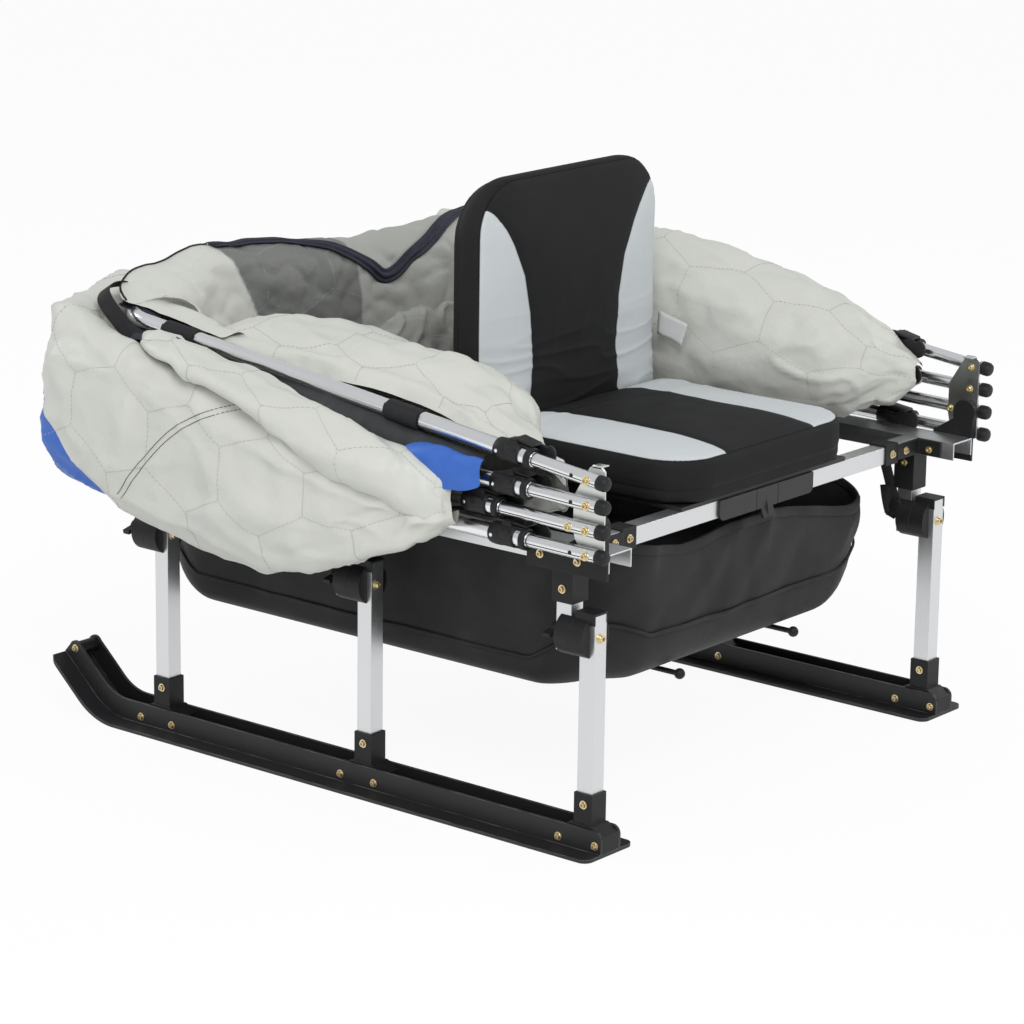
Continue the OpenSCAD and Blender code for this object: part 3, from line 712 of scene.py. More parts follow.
def sweep(name, path, across, out, section, closed=False):
    """A band or cord: a section of (across, out) offsets carried along a path, with its ends shut."""
    path, across, out = (np.asarray(p, float) for p in (path, across, out))
    rings = [path + across * a + out * b for a, b in section]
    points = np.stack(rings, axis=1)
    n, m = points.shape[:2]
    faces = []
    for k in range(n if closed else n - 1):
        j = (k + 1) % n
        faces += [(k * m + i, k * m + (i + 1) % m, j * m + (i + 1) % m, j * m + i) for i in range(m)]
    if not closed:
        faces += [tuple(reversed(range(m))), tuple((n - 1) * m + i for i in range(m))]
    made = put_mesh(name, points.reshape(-1, 3), faces)
    work = bmesh.new()
    work.from_mesh(made.data)
    bmesh.ops.recalc_face_normals(work, faces=work.faces)
    work.to_mesh(made.data)
    work.free()
    return made


def strip_section(width, thick):
    """A flat strip's section with its edges rounded over."""
    w, t = width / 2, thick / 2
    return [(-w, -t * 0.4), (-w * 0.93, -t), (w * 0.93, -t), (w, -t * 0.4),
            (w, t * 0.4), (w * 0.93, t), (-w * 0.93, t), (-w, t * 0.4)]


def cord_section(radius):
    """A cord's section with eight flats."""
    return [(radius * cos(2 * pi * k / 8), radius * sin(2 * pi * k / 8)) for k in range(8)]


rim, share = even_ring(bag_half_u, bag_half_v, bag_corners, 0.010)
end_reach = 0.14
front = np.clip((-rim[:, 1] - bag_half_v + end_reach) / end_reach, 0, 1)
back = np.clip((rim[:, 1] - bag_half_v + end_reach) / end_reach, 0, 1)
dip_xs = [-0.36, -0.303, -0.242, -0.18, -0.138, -0.095, -0.04, 0.028, 0.079, 0.148, 0.209, 0.26, 0.33, 0.3675]
dip_zs = [0.406, 0.404, 0.391, 0.379, 0.380, 0.384, 0.3915, 0.3915, 0.384, 0.371, 0.358, 0.351, 0.350, 0.358]
dips = np.interp(rim[:, 0], dip_xs, dip_zs)
side_z = 0.404
rim_z = side_z + (dips - side_z) * front
slack = np.clip((rim[:, 1] + bag_half_v) / 0.30, 0, 1)
rim_z = np.where(rim[:, 0] > 0.3, side_z - 0.054 * (1 - slack ** 1.5) * (slack < 1), rim_z)
sag = np.interp(rim[:, 0], [-0.37, -0.2, 0, 0.2, 0.37], [0.404, 0.388, 0.384, 0.389, 0.404]) - side_z
rim_z += sag * back
rim_out = np.gradient(np.vstack([rim[-1:], rim, rim[:1]]), axis=0)[1:-1]
rim_out = np.stack([rim_out[:, 1], -rim_out[:, 0]], axis=1)
rim_out /= np.hypot(*rim_out.T)[:, None]
turned = np.minimum(np.abs(rim_out[:, 0]), np.abs(rim_out[:, 1])) * 1.4
bend_z = 0.046 + 0.026 * front + 0.040 * turned
bend_in = 0.040 + 0.020 * front + 0.030 * turned
levels = np.concatenate([np.linspace(0, 1, 24), 1 + np.linspace(0, 1, 16)[1:]])
wall_inset = 0.0045
rows = []
for level in levels:  # From the rim at 0 down the wall to 1, then round the bend and over the floor to 2.
    down = min(1, level)
    lean = (0.012 * front + 0.006) * down ** 2
    if level <= 1:
        z = rim_z + (bag_floor + bend_z - rim_z) * down
        sway = np.array([noise.noise((s * 23, level * 1.3, 3.1)) for s in share]) * 0.007
        sway += np.array([noise.noise((s * 60 + level * 2.2, level * 0.7, 7.7)) for s in share]) * 0.004
        inward = wall_inset + lean + 0.006 * sin(pi * level) ** 2 * np.abs(front - 0.4) - sway
        inward = np.maximum(inward, 0.0005) + 0.007 * (rim_z < 0.39) * (1 - level) ** 3
        rows.append(np.column_stack([rim - rim_out * inward[:, None] + [0, bag_mid_y], z]))
    else:
        turn = min(1, (level - 1) * 2.4) * pi / 2
        shrink = max(0, ((level - 1) * 2.4 - 1) / 1.4)
        ring = (rim - rim_out * (wall_inset + lean + bend_in * (1 - cos(turn)))[:, None]) * (1 - shrink * 0.985)
        ripple = np.array([noise.noise((x * 14, y * 9, 5.0)) for x, y in ring]) * 0.002 + 0.0016
        z = bag_floor + bend_z * (1 - sin(turn)) + ripple * min(1, shrink * 3)
        rows.append(np.column_stack([ring + [0, bag_mid_y], z]))
grid = np.array(rows)
grid = np.concatenate([grid, grid[:, :1]], axis=1)


def cloth_mesh(name, grid, closed=False):
    """A smooth sheet over a grid of points, with its flat pattern in metres as the UV map."""
    rows, columns = grid.shape[0] - 1, grid.shape[1] - 1
    index = np.arange((rows + 1) * (columns + 1)).reshape(rows + 1, columns + 1)
    along = np.concatenate([[0], np.cumsum(np.linalg.norm(np.diff(grid, axis=0), axis=2).mean(1))])
    across = np.concatenate([[0], np.cumsum(np.linalg.norm(np.diff(grid, axis=1), axis=2).max(0))])
    flat = np.stack(np.meshgrid(along, across, indexing="ij"), axis=-1).reshape(-1, 2)
    quads = np.stack([index[:-1, :-1], index[1:, :-1], index[1:, 1:], index[:-1, 1:]], axis=-1).reshape(-1, 4)
    corner_uv = flat[quads.ravel()]
    if closed:
        index[:, -1] = index[:, 0]
        quads = np.stack([index[:-1, :-1], index[1:, :-1], index[1:, 1:], index[:-1, 1:]], axis=-1).reshape(-1, 4)
    made = put_mesh(name, grid.reshape(-1, 3), quads.tolist())
    made.data.uv_layers.new(name="cut").data.foreach_set("uv", corner_uv.astype(np.float32).ravel())
    if closed:
        work = bmesh.new()
        work.from_mesh(made.data)
        bmesh.ops.delete(work, geom=[v for v in work.verts if not v.link_faces], context="VERTS")
        work.to_mesh(made.data)
        work.free()
    return made


def thickened(piece, thick, offset=-1):
    kept_with(piece, "SOLIDIFY", thickness=thick, offset=offset, use_even_offset=False)


bag_shell = cloth_mesh("bag_shell", grid, closed=True)
places = points_of(bag_shell.data)
wall = np.clip((places[:, 2] - bag_floor - 0.02) / 0.06, 0, 1)
lift = ridges(places, 12.4, (0.19, 0.19, 0.42)) * 0.0032
lift += ridges(places, 31.0, (0.11, 0.13, 0.16)) * 0.0016
move_points(bag_shell.data, places - normals_of(bag_shell.data) * (lift * wall + 0.0015 * wall)[:, None])
kept_with(bag_shell, "SUBSURF", levels=1, render_levels=1)
thickened(bag_shell, 0.0012)

bag_cloth = Finish("bag_black", {"Specular IOR Level": 0.22})
weave = square_weave(bag_cloth, 4800)
rubs = bag_cloth.noise(11, 5)
bag_cloth.set({
    "Base Color": bag_cloth.mix(rubs.step(0.35, 0.75), (0.0175, 0.0175, 0.018), (0.030, 0.030, 0.031)),
    "Roughness": 0.50 + rubs * 0.16,
    "Normal": bag_cloth.bump(weave, 0.00020, strength=0.5, over=bag_cloth.bump(bag_cloth.noise(38, 4), 0.0010))})
bag_shell.data.materials.append(bag_cloth.material)

# The hem is a folded band on the rim, and the floor is joined to the walls with a bound seam.
hem_width = 0.015
rim_count = len(rim)
hem_path = np.column_stack([grid[0, :-1, :2], rim_z - hem_width / 2])
outward = np.column_stack([rim_out, np.zeros(rim_count)])
upward = np.tile([0.0, 0.0, 1.0], (rim_count, 1))
bag_hem = sweep("bag_hem", hem_path, upward, outward, strip_section(hem_width, 0.0042), closed=True)
kept_with(bag_hem, "SUBSURF", levels=1, render_levels=1)
seam_row = grid[int(np.searchsorted(levels, 1.0)), :-1]
piping = [(a * 1.5, b) for a, b in cord_section(0.0021)]
bag_piping = sweep("bag_piping", seam_row, upward, outward, piping, closed=True)

# Along each side the rim turns out in a flap that is caught under the rail.
flaps = []
inner_x, outer_x, inner_z, outer_z = 0.3655, 0.3945, 0.4000, 0.4042
for side, name in both_sides:
    ys = np.linspace(bag_low.y + 0.16, bag_high.y - 0.15, 70)
    flap = []
    for share in np.linspace(0, 1, 8):
        x = inner_x + (outer_x - inner_x) * share
        z = inner_z + (outer_z - inner_z) * share ** 0.6
        sags = [0.0022 * (1 - share) * (0.5 + 0.5 * noise.noise((y * 30, share, 2.0))) for y in ys]
        flap.append([(side * x, y, z - sag) for y, sag in zip(ys, sags)])
    made = cloth_mesh("bag_flap_" + name, np.array(flap))
    thickened(made, 0.0014, offset=0)
    flaps.append(made)
for made in [bag_hem, bag_piping] + flaps:
    made.data.materials.append(bag_cloth.material)
    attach(made, "frame")
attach(bag_shell, "frame")
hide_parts("cargo_bag")
finish_node(nylon, "bag_rods")

# ---- Bows ----
# Four bows of polished aluminium tube. Each side pole is two tubes that slide in each other, with
# a slot drawn along the inner one, and bolts through a zinc plate that pivots on the frame.

pole_metal = Finish("pole_aluminium", {"Metallic": 1.0})
drawn = pole_metal.noise(30, 3, stretch=(0.03, 4, 0.03))
handled = pole_metal.noise(9, 4)
pole_metal.set({
    "Base Color": pole_metal.mix(drawn * 0.5 + handled * 0.4, (0.80, 0.81, 0.83), (0.90, 0.905, 0.91)),
    "Roughness": 0.15 + drawn * 0.08 + handled * 0.10,
    "Normal": pole_metal.bump(drawn, 0.00008, strength=0.4)})
finish_node(pole_metal, "top_bow", "second_bow", "third_bow", "lower_bow")

plated = Finish("zinc_plate", {"Metallic": 1.0})
spangle = plated.noise(60, 3)
plated.set({
    "Base Color": plated.mix(spangle, (0.62, 0.64, 0.60), (0.76, 0.77, 0.74)),
    "Roughness": 0.24 + spangle * 0.14,
    "Normal": plated.bump(spangle, 0.0001, over=plated.soft_edges(0.0008), strength=0.5)})
finish_node(plated, "left_hub_plate", "right_hub_plate")

mid_leg_to_pivot = 0.431
bow_pivot = mid_leg - mid_leg_to_pivot
pole_x = 0.0098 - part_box("left_hub_plate")[0].x
hub_z, pole_gap, pole_r, sleeve_r = 0.469, 0.0345, 0.0095, 0.012
# Each pole's step above the hub, its tilt in degrees, and how far back its clamp starts.
pole_rows = [(2, 6.6, 0.096), (1, 2.0, 0.100), (0, 1.7, 0.150), (-1, 1.1, 0.102)]


class Pole:
    """The line of one side pole: place() turns a distance back, out and up into a point."""

    def __init__(self, side, step, tilt, start):
        self.side, self.start = side, start
        self.root = Vector((side * pole_x, bow_pivot, hub_z + step * pole_gap))
        self.back = Vector((0, cos(radians(tilt)), sin(radians(tilt))))
        self.up = Vector((0, -sin(radians(tilt)), cos(radians(tilt))))
        self.out = Vector((side, 0, 0))

    def place(self, back, out=0.0, up=0.0):
        return self.root + self.back * back + self.out * out + self.up * up


poles = [Pole(side, *row) for side in (-1, 1) for row in pole_rows]
long_start = 0.12  # A pole whose clamp starts further back than this has two bolts, not one.


def shell_of(work, pole, profile, sides=28, reach=(0, 360)):
    """Adds a turned shape round a pole: profile is (distance back, radius), reach its part turn."""
    whole = reach[1] - reach[0] >= 360
    angles = np.radians(np.linspace(*reach, sides + 1)[:sides if whole else None])
    rings = [[work.verts.new(pole.place(b, r * cos(a), r * sin(a))) for a in angles] for b, r in profile]
    count = len(angles)
    for k, ring in enumerate(rings):
        after = rings[(k + 1) % len(rings)]
        for j in range(count if whole else count - 1):
            work.faces.new((ring[j], ring[(j + 1) % count], after[(j + 1) % count], after[j]))
    if not whole:
        work.faces.new([ring[0] for ring in rings])
        work.faces.new([ring[-1] for ring in reversed(rings)])


def prism_of(work, *ends):
    """Adds a solid between two outlines that match point for point."""
    near, far = [[work.verts.new(p) for p in end] for end in ends]
    work.faces.new(near)
    work.faces.new(list(reversed(far)))
    for j in range(len(near)):
        k = (j + 1) % len(near)
        work.faces.new((near[j], far[j], far[k], near[k]))


def slab_of(work, pole, outline, low, high):
    """Adds a flat shape along a pole: outline is (back, up), from low to high outwards."""
    prism_of(work, *[[pole.place(back, out, up) for back, up in outline] for out in (low, high)])


def disc_outline(centre, radius):
    return [(centre + radius * cos(a), radius * sin(a)) for a in np.linspace(0, 2 * pi, 17)[:-1]]


def built(name, fill, body, finish, soft=None):
    """A mesh piece that fill adds to, with its faces turned out and its edges eased."""
    work = bmesh.new()
    fill(work)
    bmesh.ops.recalc_face_normals(work, faces=work.faces)
    mesh = bpy.data.meshes.new(name)
    work.to_mesh(mesh)
    work.free()
    made = bpy.data.objects.new(name, mesh)
    bpy.context.collection.objects.link(made)
    if soft:
        work = made.modifiers.new("eased", "BEVEL")
        work.width, work.segments, work.limit_method, work.angle_limit = soft, 2, "ANGLE", radians(40)
        mesh = bpy.data.meshes.new_from_object(made.evaluated_get(bpy.context.evaluated_depsgraph_get()))
        made.modifiers.remove(work)
        made.data = mesh
    mesh.materials.clear()
    mesh.materials.append(finish.material)
    for face in mesh.polygons:
        face.use_smooth = True
    mesh.set_sharp_from_angle(angle=radians(38))
    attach(made, body)
    return made


def rounded_paddle(length, half, bend):
    """The outline of a cam lever's paddle with its rounded end forward."""
    end = [(length + half * 0.9 * cos(a), half * sin(a)) for a in np.linspace(pi / 2, -pi / 2, 11)]
    heel = [(0.010, -half * 0.55), (0.022, -half * 0.2), (0.024, half * 0.6), (0.010, half * 1.05),
            (-bend, half * 0.86)]
    return [(-a, b + 0.002) for a, b in end] + heel


# ---- Cam clamps and end caps ----
# Each sliding joint is gripped by a moulded nylon clamp: a collar, a window on the tube, a barrel
# with a rivet, and a cam lever lying along its inboard face. Nylon caps close the poles' ends.


def fill_clamps(work):
    for pole in poles:
        s = pole.start
        collar = [(s, 0.0099), (s, 0.0138), (s + 0.0012, 0.0152), (s + 0.0078, 0.0152), (s + 0.009, 0.0142),
                  (s + 0.009, 0.0123), (s + 0.0016, 0.0121)]
        bridge = [(s + 0.0085, 0.0123), (s + 0.0085, 0.0148), (s + 0.0205, 0.0148), (s + 0.0205, 0.0123)]
        barrel = [(s + 0.020, 0.0123), (s + 0.020, 0.0142), (s + 0.0212, 0.0152), (s + 0.041, 0.0152),
                  (s + 0.043, 0.0160), (s + 0.052, 0.0160), (s + 0.060, 0.0150), (s + 0.062, 0.0136),
                  (s + 0.062, 0.0123)]
        shell_of(work, pole, collar)
        shell_of(work, pole, bridge, sides=16, reach=(75, 285))
        shell_of(work, pole, barrel)
        slab_of(work, pole, [(s + 0.022, 0.0), (s + 0.040, 0.0), (s + 0.040, 0.0105), (s + 0.024, 0.0105)],
                0.0135, 0.0162)
        for up in (0.0115, -0.0115):
            slab_of(work, pole, [(s + 0.024, up - 0.0016), (s + 0.041, up - 0.0016), (s + 0.041, up + 0.0016),
                                 (s + 0.024, up + 0.0016)], -0.022, -0.006)
        slab_of(work, pole, [(s + 0.028, 0.010), (s + 0.046, 0.010), (s + 0.044, 0.0185), (s + 0.030, 0.0205)],
                -0.011, 0.004)


def fill_levers(work):
    for pole in poles:
        s = pole.start
        outline = rounded_paddle(0.008, 0.0135, 0.004)
        slab_of(work, pole, [(s + a, b + 0.003) for a, b in outline], -0.0235, -0.0185)
        slab_of(work, pole, [(s + 0.016, -0.006), (s + 0.038, -0.006), (s + 0.040, 0.009), (s + 0.018, 0.010)],
                -0.0215, -0.013)
        slab_of(work, pole, [(s + 0.004, 0.0155), (s + 0.036, 0.0165), (s + 0.036, 0.0215), (s + 0.006, 0.0185)],
                -0.0225, 0.002)


def fill_caps(work):
    for pole in poles:
        shell_of(work, pole, [(-0.0150, 0.0096), (-0.0150, 0.0104), (-0.0190, 0.0107), (-0.0262, 0.0104),
                              (-0.0296, 0.0086), (-0.0306, 0.0052), (-0.0306, 0.0004), (-0.0200, 0.0004),
                              (-0.0196, 0.0090)], sides=20)


clamps = built("pole_clamps", fill_clamps, "canopy", nylon, soft=0.0006)
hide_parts("bow_clamps")
built("clamp_levers", fill_levers, "canopy", nylon, soft=0.0012)
built("pole_caps", fill_caps, "canopy", nylon)

# The slot along each inner tube and the spare adjusting holes are thin dark pieces: painted shade stands in for the
# hollows in them.
painted_slot_shade = Finish("slot_painted_shade", {"Specular IOR Level": 0.2, "Roughness": 0.8})
shade_mottle = painted_slot_shade.noise(200, 2)
painted_slot_shade.set({"Base Color": painted_slot_shade.mix(shade_mottle, (0.012, 0.012, 0.013), (0.035, 0.035, 0.036))})


def fill_slots(work):
    c, s = cos(radians(-14)), sin(radians(-14))
    inner, outer, half = pole_r - 0.0006, pole_r + 0.00012, 0.0007
    ring = [(inner * c + half * s, inner * s - half * c), (outer * c + half * s, outer * s - half * c),
            (outer * c - half * s, outer * s + half * c), (inner * c - half * s, inner * s + half * c)]
    for pole in poles:
        prism_of(work, *[[pole.place(back, *p) for p in ring] for back in (-0.0145, pole.start)])
        if pole.start < long_start:
            slab_of(work, pole, disc_outline(0.025, 0.0030), pole_r - 0.002, pole_r + 0.00025)


built("pole_slots", fill_slots, "canopy", painted_slot_shade)


def fill_rivets(work):
    for pole in poles:
        slab_of(work, pole, disc_outline(pole.start + 0.0535, 0.0027), 0.0140, 0.0167)


built("clamp_rivets", fill_rivets, "canopy", pole_metal, soft=0.0006)

pole_bolt_size = 1.05
rows = []
for pole in poles:
    rows += [(pole.place(back, pole_r), tuple(pole.out), pole_bolt_size)
             for back in ((0, 0.029) if pole.start > long_start else (0,))]
for side in (-1, 1):
    inner = side * abs(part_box("left_hub_plate")[1].x)
    for back, z in ((-0.002, 0.537), (-0.001, 0.5035), (0.032, 0.469)):
        rows.append(((inner, bow_pivot + back, z), (-side, 0, 0), 1.0))
bolts("bow_bolts", "canopy", rows)


# The plate's top edge is folded over towards the seat so that it doesn't catch the fabric.
def fill_lips(work):
    for side, name in both_sides:
        low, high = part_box(name + "_hub_plate")
        x_out, x_in = (low.x, high.x) if side < 0 else (high.x, low.x)
        y0, y1, top = bow_pivot - 0.0115, bow_pivot + 0.0045, high.z
        bend = [(x_out, top - 0.002), (x_out, top + 0.0005), (x_out - side * 0.0015, top + 0.0022),
                (x_out - side * 0.016, top + 0.0012), (x_out - side * 0.016, top - 0.0003),
                (x_out - side * 0.0022, top + 0.0003), (x_in, top - 0.0012)]
        prism_of(work, *[[(x, y, z) for x, z in bend] for y in (y0, y1)])


built("hub_lips", fill_lips, "canopy", plated, soft=0.0003)

# ---- Canopy fabric ----
# The shelter is quilted, coated polyester, folded back over its bows. The outer sheet hangs as a
# pouch outside the poles and round behind them, and the inner one is bunched beside the seat.

cloth_step = 0.0105
quilt_width = 0.150


def evened(points, step):
    """A grid resampled along its first axis at an even step, through its points (Catmull-Rom)."""
    padded = np.concatenate([2 * points[:1] - points[1:2], points, 2 * points[-1:] - points[-2:-1]])
    at = np.linspace(0, len(points) - 1 - 1e-9, 600)
    k, t = at.astype(int), (at % 1).reshape((-1,) + (1,) * (points.ndim - 1))
    a, b, c, d = (padded[k + j] for j in range(4))
    fine = b + 0.5 * t * (c - a + t * (2 * a - 5 * b + 4 * c - d + t * (3 * (b - c) + d - a)))
    gaps = np.linalg.norm(np.diff(fine, axis=0), axis=-1)
    run = np.concatenate([[0], np.cumsum(gaps if gaps.ndim == 1 else gaps.mean(tuple(range(1, gaps.ndim))))])
    even = np.linspace(0, run[-1], max(4, int(round(run[-1] / step))) + 1)
    flat = fine.reshape(len(fine), -1)
    out = np.stack([np.interp(even, run, flat[:, j]) for j in range(flat.shape[1])], axis=1)
    return out.reshape((len(even),) + points.shape[1:])


def drawn_at(rows, profile):
    """Stations from rows of near x and y, far x and y, low and high; y is from the middle legs."""
    return [(nx, mid_leg + ny, fx, mid_leg + fy, profile(low, high)) for nx, ny, fx, fy, low, high in rows]


def lofted(stations):
    """A grid of points through stations: near x and y, far x and y, and a profile of (share, z)."""
    control = np.array([[(nx + (fx - nx) * f, ny + (fy - ny) * f, z) for f, z in profile]
                        for nx, ny, fx, fy, profile in stations])
    grid = evened(control, cloth_step)
    return np.swapaxes(evened(np.swapaxes(grid, 0, 1), cloth_step), 0, 1)


def roll_profile(low, high, turn=150, squareness=2.4, count=17):
    """A roll's profile from its slit, over the top and round underneath."""
    rows = []
    for angle in np.radians(np.linspace(turn, -turn, count)):
        c, s = cos(angle), sin(angle)
        reach = (np.sign(c) * abs(c) ** (2 / squareness) + 1) / 2
        rows.append((reach, (low + high) / 2 + (high - low) / 2 * np.sign(s) * abs(s) ** (2 / squareness)))
    return rows


def normals_over(grid):
    out = np.cross(np.gradient(grid, axis=0), np.gradient(grid, axis=1))
    return out / np.maximum(np.linalg.norm(out, axis=-1, keepdims=True), 1e-12)


def folded(grid, seed, depth, sizes):
    """Pushes a grid in and out in long folds; sizes are their spacings along each axis."""
    flat = grid.reshape(-1, 3)
    lift = np.zeros(len(flat))
    for n, (size, share) in enumerate(sizes):
        lift += ridges(flat, seed + 7.3 * n, size) * share
    return grid + normals_over(grid) * (lift * depth).reshape(grid.shape[:2] + (1,))


def hexagon_edge(u, v):
    """How far a point of the flat pattern is from the nearest edge of the quilted hexagons."""
    wide, tall = quilt_width, quilt_width * sqrt(3)
    best = np.full(np.shape(u), 9.0)
    second = best.copy()
    for du, dv in ((0, 0), (wide / 2, tall / 2)):
        for su in (-1, 0, 1):
            for sv in (-1, 0, 1):
                cu = np.round((u - du) / wide + su * 0.999) * wide + du
                cv = np.round((v - dv) / tall + sv * 0.999) * tall + dv
                gap = np.hypot(u - cu, v - cv)
                fresh = np.abs(gap - best) > 1e-7
                second = np.where(gap < best - 1e-7, best, np.where(fresh, np.minimum(second, gap), second))
                best = np.minimum(best, gap)
    return (second - best) / 2


def corners_of(mesh):
    """The point that each face corner belongs to."""
    loops = np.empty(len(mesh.loops), np.int32)
    mesh.loops.foreach_get("vertex_index", loops)
    return loops


def cut_of(mesh):
    """Each point's place in the flat pattern."""
    uv = np.empty(len(mesh.loops) * 2, np.float32)
    mesh.uv_layers["cut"].data.foreach_get("uv", uv)
    out = np.zeros((len(mesh.vertices), 2))
    out[corners_of(mesh)] = uv.reshape(-1, 2)
    return out


def valleys(points, seed, size):
    """Sharp valleys with soft swells between them; size is their spacing along each axis."""
    at = points / np.array(size) + seed
    return np.array([abs(noise.noise(p)) for p in at.tolist()]) * 2 - 0.45


lean = 0.26
slant = np.array([[1, 0, 0], [0, cos(lean), -sin(lean)], [0, sin(lean), cos(lean)]])


def quilted(piece, seed, depth=0.0008, fine=0.0034):
    """Subdivides a sheet, raises the pads of its quilting and presses in sharp creases."""
    kept_with(piece, "SUBSURF", levels=1, render_levels=1)
    mesh = piece.data
    u, v = cut_of(mesh).T
    edge = hexagon_edge(u, v)
    places = points_of(mesh)
    lift = depth * (np.minimum(edge / 0.016, 1) ** 0.6 - 0.6)
    lift += ridges(places, seed, (0.09, 0.15, 0.08)) * fine
    lift += ridges(places, seed + 5, (0.034, 0.05, 0.026)) * fine * 0.3
    lift += valleys(places, seed + 9, (0.13, 0.24, 0.10)) * fine * 1.9
    lift += valleys(places, seed + 12, (0.06, 0.10, 0.05)) * fine * 0.45
    lift += ridges(places @ slant, seed + 21, (0.055, 0.42, 0.050)) * fine * 2.0
    move_points(mesh, places + normals_of(mesh) * lift[:, None])
    number_points(mesh, "quilt", edge)


shell_cloth = Finish("canopy_grey", {"Specular IOR Level": 0.42})
blue = shell_cloth.node("Attribute", {"attribute_name": "blue"}, out="Fac").step(0.0004, 0.0014)
shade = shell_cloth.node("Attribute", {"attribute_name": "shade"}, out="Fac")
quilt = shell_cloth.node("Attribute", {"attribute_name": "quilt"}, out="Fac")
uv = shell_cloth.node("UVMap", {"uv_map": "cut"})
u, v, _ = shell_cloth.axes(uv)
weave = (u * 5200).sine() * (v * 5200).sine() * 0.5 + 0.5
clouds = shell_cloth.noise(6, 4)
smudge = shell_cloth.noise(45, 4)
crumple = shell_cloth.noise(55, 3, rough=0.55)
seam = 1 - quilt.step(0, 0.0025)
outer_grey = shell_cloth.mix(clouds * 0.4 + smudge * 0.3, (0.63, 0.635, 0.585), (0.56, 0.567, 0.525))
# Where the shade attribute says, the sheet takes a darker grey: the darker coating of its inner face and painted shade
# together.
inner_grey_and_shade = shell_cloth.mix(clouds, (0.155, 0.16, 0.15), (0.20, 0.205, 0.195))
panel_blue = shell_cloth.mix(smudge, (0.045, 0.155, 0.56), (0.03, 0.11, 0.44))
plain = shell_cloth.mix(blue, shell_cloth.mix(shade, outer_grey, inner_grey_and_shade), panel_blue)
shell_cloth.set({
    "Base Color": shell_cloth.mix(seam * 0.035, plain, (0.20, 0.21, 0.19)),
    "Roughness": 0.44 + clouds * 0.10,
    "Normal": shell_cloth.bump(weave, 0.00012, strength=0.35,
                               over=shell_cloth.bump(crumple, 0.0022, strength=0.55))})


def edges_held(grid):
    """How firmly each point is held as a sheet settles: 1 along its sewn edges, little elsewhere."""
    rows, columns = [np.arange(n) for n in grid.shape[:2]]
    from_end = np.minimum(rows, rows[-1] - rows)[:, None]
    from_slit = np.minimum(columns, columns[-1] - columns)[None, :]
    return np.where((from_slit < 3) | (from_end < 3), 1.0, 0.02).ravel()


# Outer sheet: a pouch on each side, hanging lowest by the rear corner, and a roll behind the
# bows. A blue panel shows low on each rear corner.
side_stations = [(-.4835, -.218, -.496, -.214, .452, .498), (-.4835, -.19, -.520, -.188, .438, .506),
                 (-.4835, -.15, -.548, -.15, .421, .518), (-.4835, -.08, -.572, -.08, .396, .538),
                 (-.4835, .02, -.583, .02, .364, .562), (-.4835, .12, -.586, .12, .349, .582),
                 (-.4835, .25, -.586, .25, .360, .606),
                 (-.4855, .37, -.584, .39, .396, .640), (-.478, .430, -.558, .500, .404, .655),
                 (-.445, .4565, -.495, .568, .405, .668), (-.34, .4565, -.37, .583, .425, .684),
                 (-.20, .4565, -.21, .582, .442, .694), (-.05, .4565, -.05, .583, .446, .668)]
across = [(-nx, ny, -fx, fy, low, min(high, .655) if fx > -.3 else high)
          for nx, ny, fx, fy, low, high in reversed(side_stations)]
grid = lofted(drawn_at(side_stations + across, roll_profile))
grid = folded(grid, 3.1, 0.011, [((0.17, 0.15, 0.34), 1.0), ((0.08, 0.10, 0.15), 0.5)])
skirt = cloth_mesh("canopy_skirt", grid)
run_cloth(skirt, edges_held(grid), 22, 0.024, swell=0.07, pressure=1.2, weight=0.6, bending=0.25)
quilted(skirt, 14.0)
places = points_of(skirt.data)
side_x, back_y, z = np.abs(places[:, 0]), places[:, 1] - mid_leg, places[:, 2]
panel = np.minimum(0.409 + (back_y - 0.406) * 0.80 - z, (back_y - 0.36) * 3) * 0.75
number_points(skirt.data, "blue", np.where(side_x > 0.40, panel, -0.01))
skirt.data.materials.append(shell_cloth.material)

# Inner sheet: a plump lobe beside the seat on each side, lower round the well behind the seat.
left_lobe = [(-.440, -.362, -.418, -.358, .474, .526), (-.438, -.335, -.388, -.325, .466, .552),
             (-.438, -.285, -.345, -.275, .462, .572),
             (-.4535, -.235, -.31, -.225, .452, .590), (-.4535, -.17, -.25, -.17, .446, .630),
             (-.4535, -.06, -.232, -.06, .445, .653), (-.4535, .06, -.230, .06, .444, .660),
             (-.4535, .19, -.234, .17, .444, .666), (-.4535, .31, -.262, .25, .446, .650),
             (-.42, .405, -.275, .325, .448, .600), (-.33, .423, -.25, .372, .455, .575)]
well = [(-.18, .423, -.17, .386, .458, .57), (.0, .423, .0, .388, .458, .56), (.18, .423, .17, .386, .458, .57)]
right_lobe = [(.33, .423, .25, .372, .455, .600), (.42, .405, .275, .325, .448, .640),
              (.4535, .31, .262, .25, .446, .680), (.4535, .17, .236, .16, .444, .704),
              (.4535, .05, .230, .05, .444, .712), (.4535, -.04, .234, -.04, .446, .704),
              (.4535, -.13, .246, -.13, .452, .678), (.4535, -.21, .268, -.21, .458, .650),
              (.4535, -.28, .305, -.285, .468, .618), (.4535, -.325, .36, -.335, .482, .572),
              (.4535, -.350, .415, -.358, .500, .536)]
grid = lofted(drawn_at(left_lobe + well + right_lobe, lambda low, high: roll_profile(low, high, 158, 2.2)))
grid = folded(grid, 9.4, 0.010, [((0.15, 0.17, 0.26), 1.0), ((0.08, 0.09, 0.12), 0.5)])
lining = cloth_mesh("canopy_lining", grid[::-1])
run_cloth(lining, edges_held(grid), 22, 0.018, swell=0.06, pressure=1.2, weight=0.5, bending=0.25)
quilted(lining, 27.0)
places = points_of(lining.data)
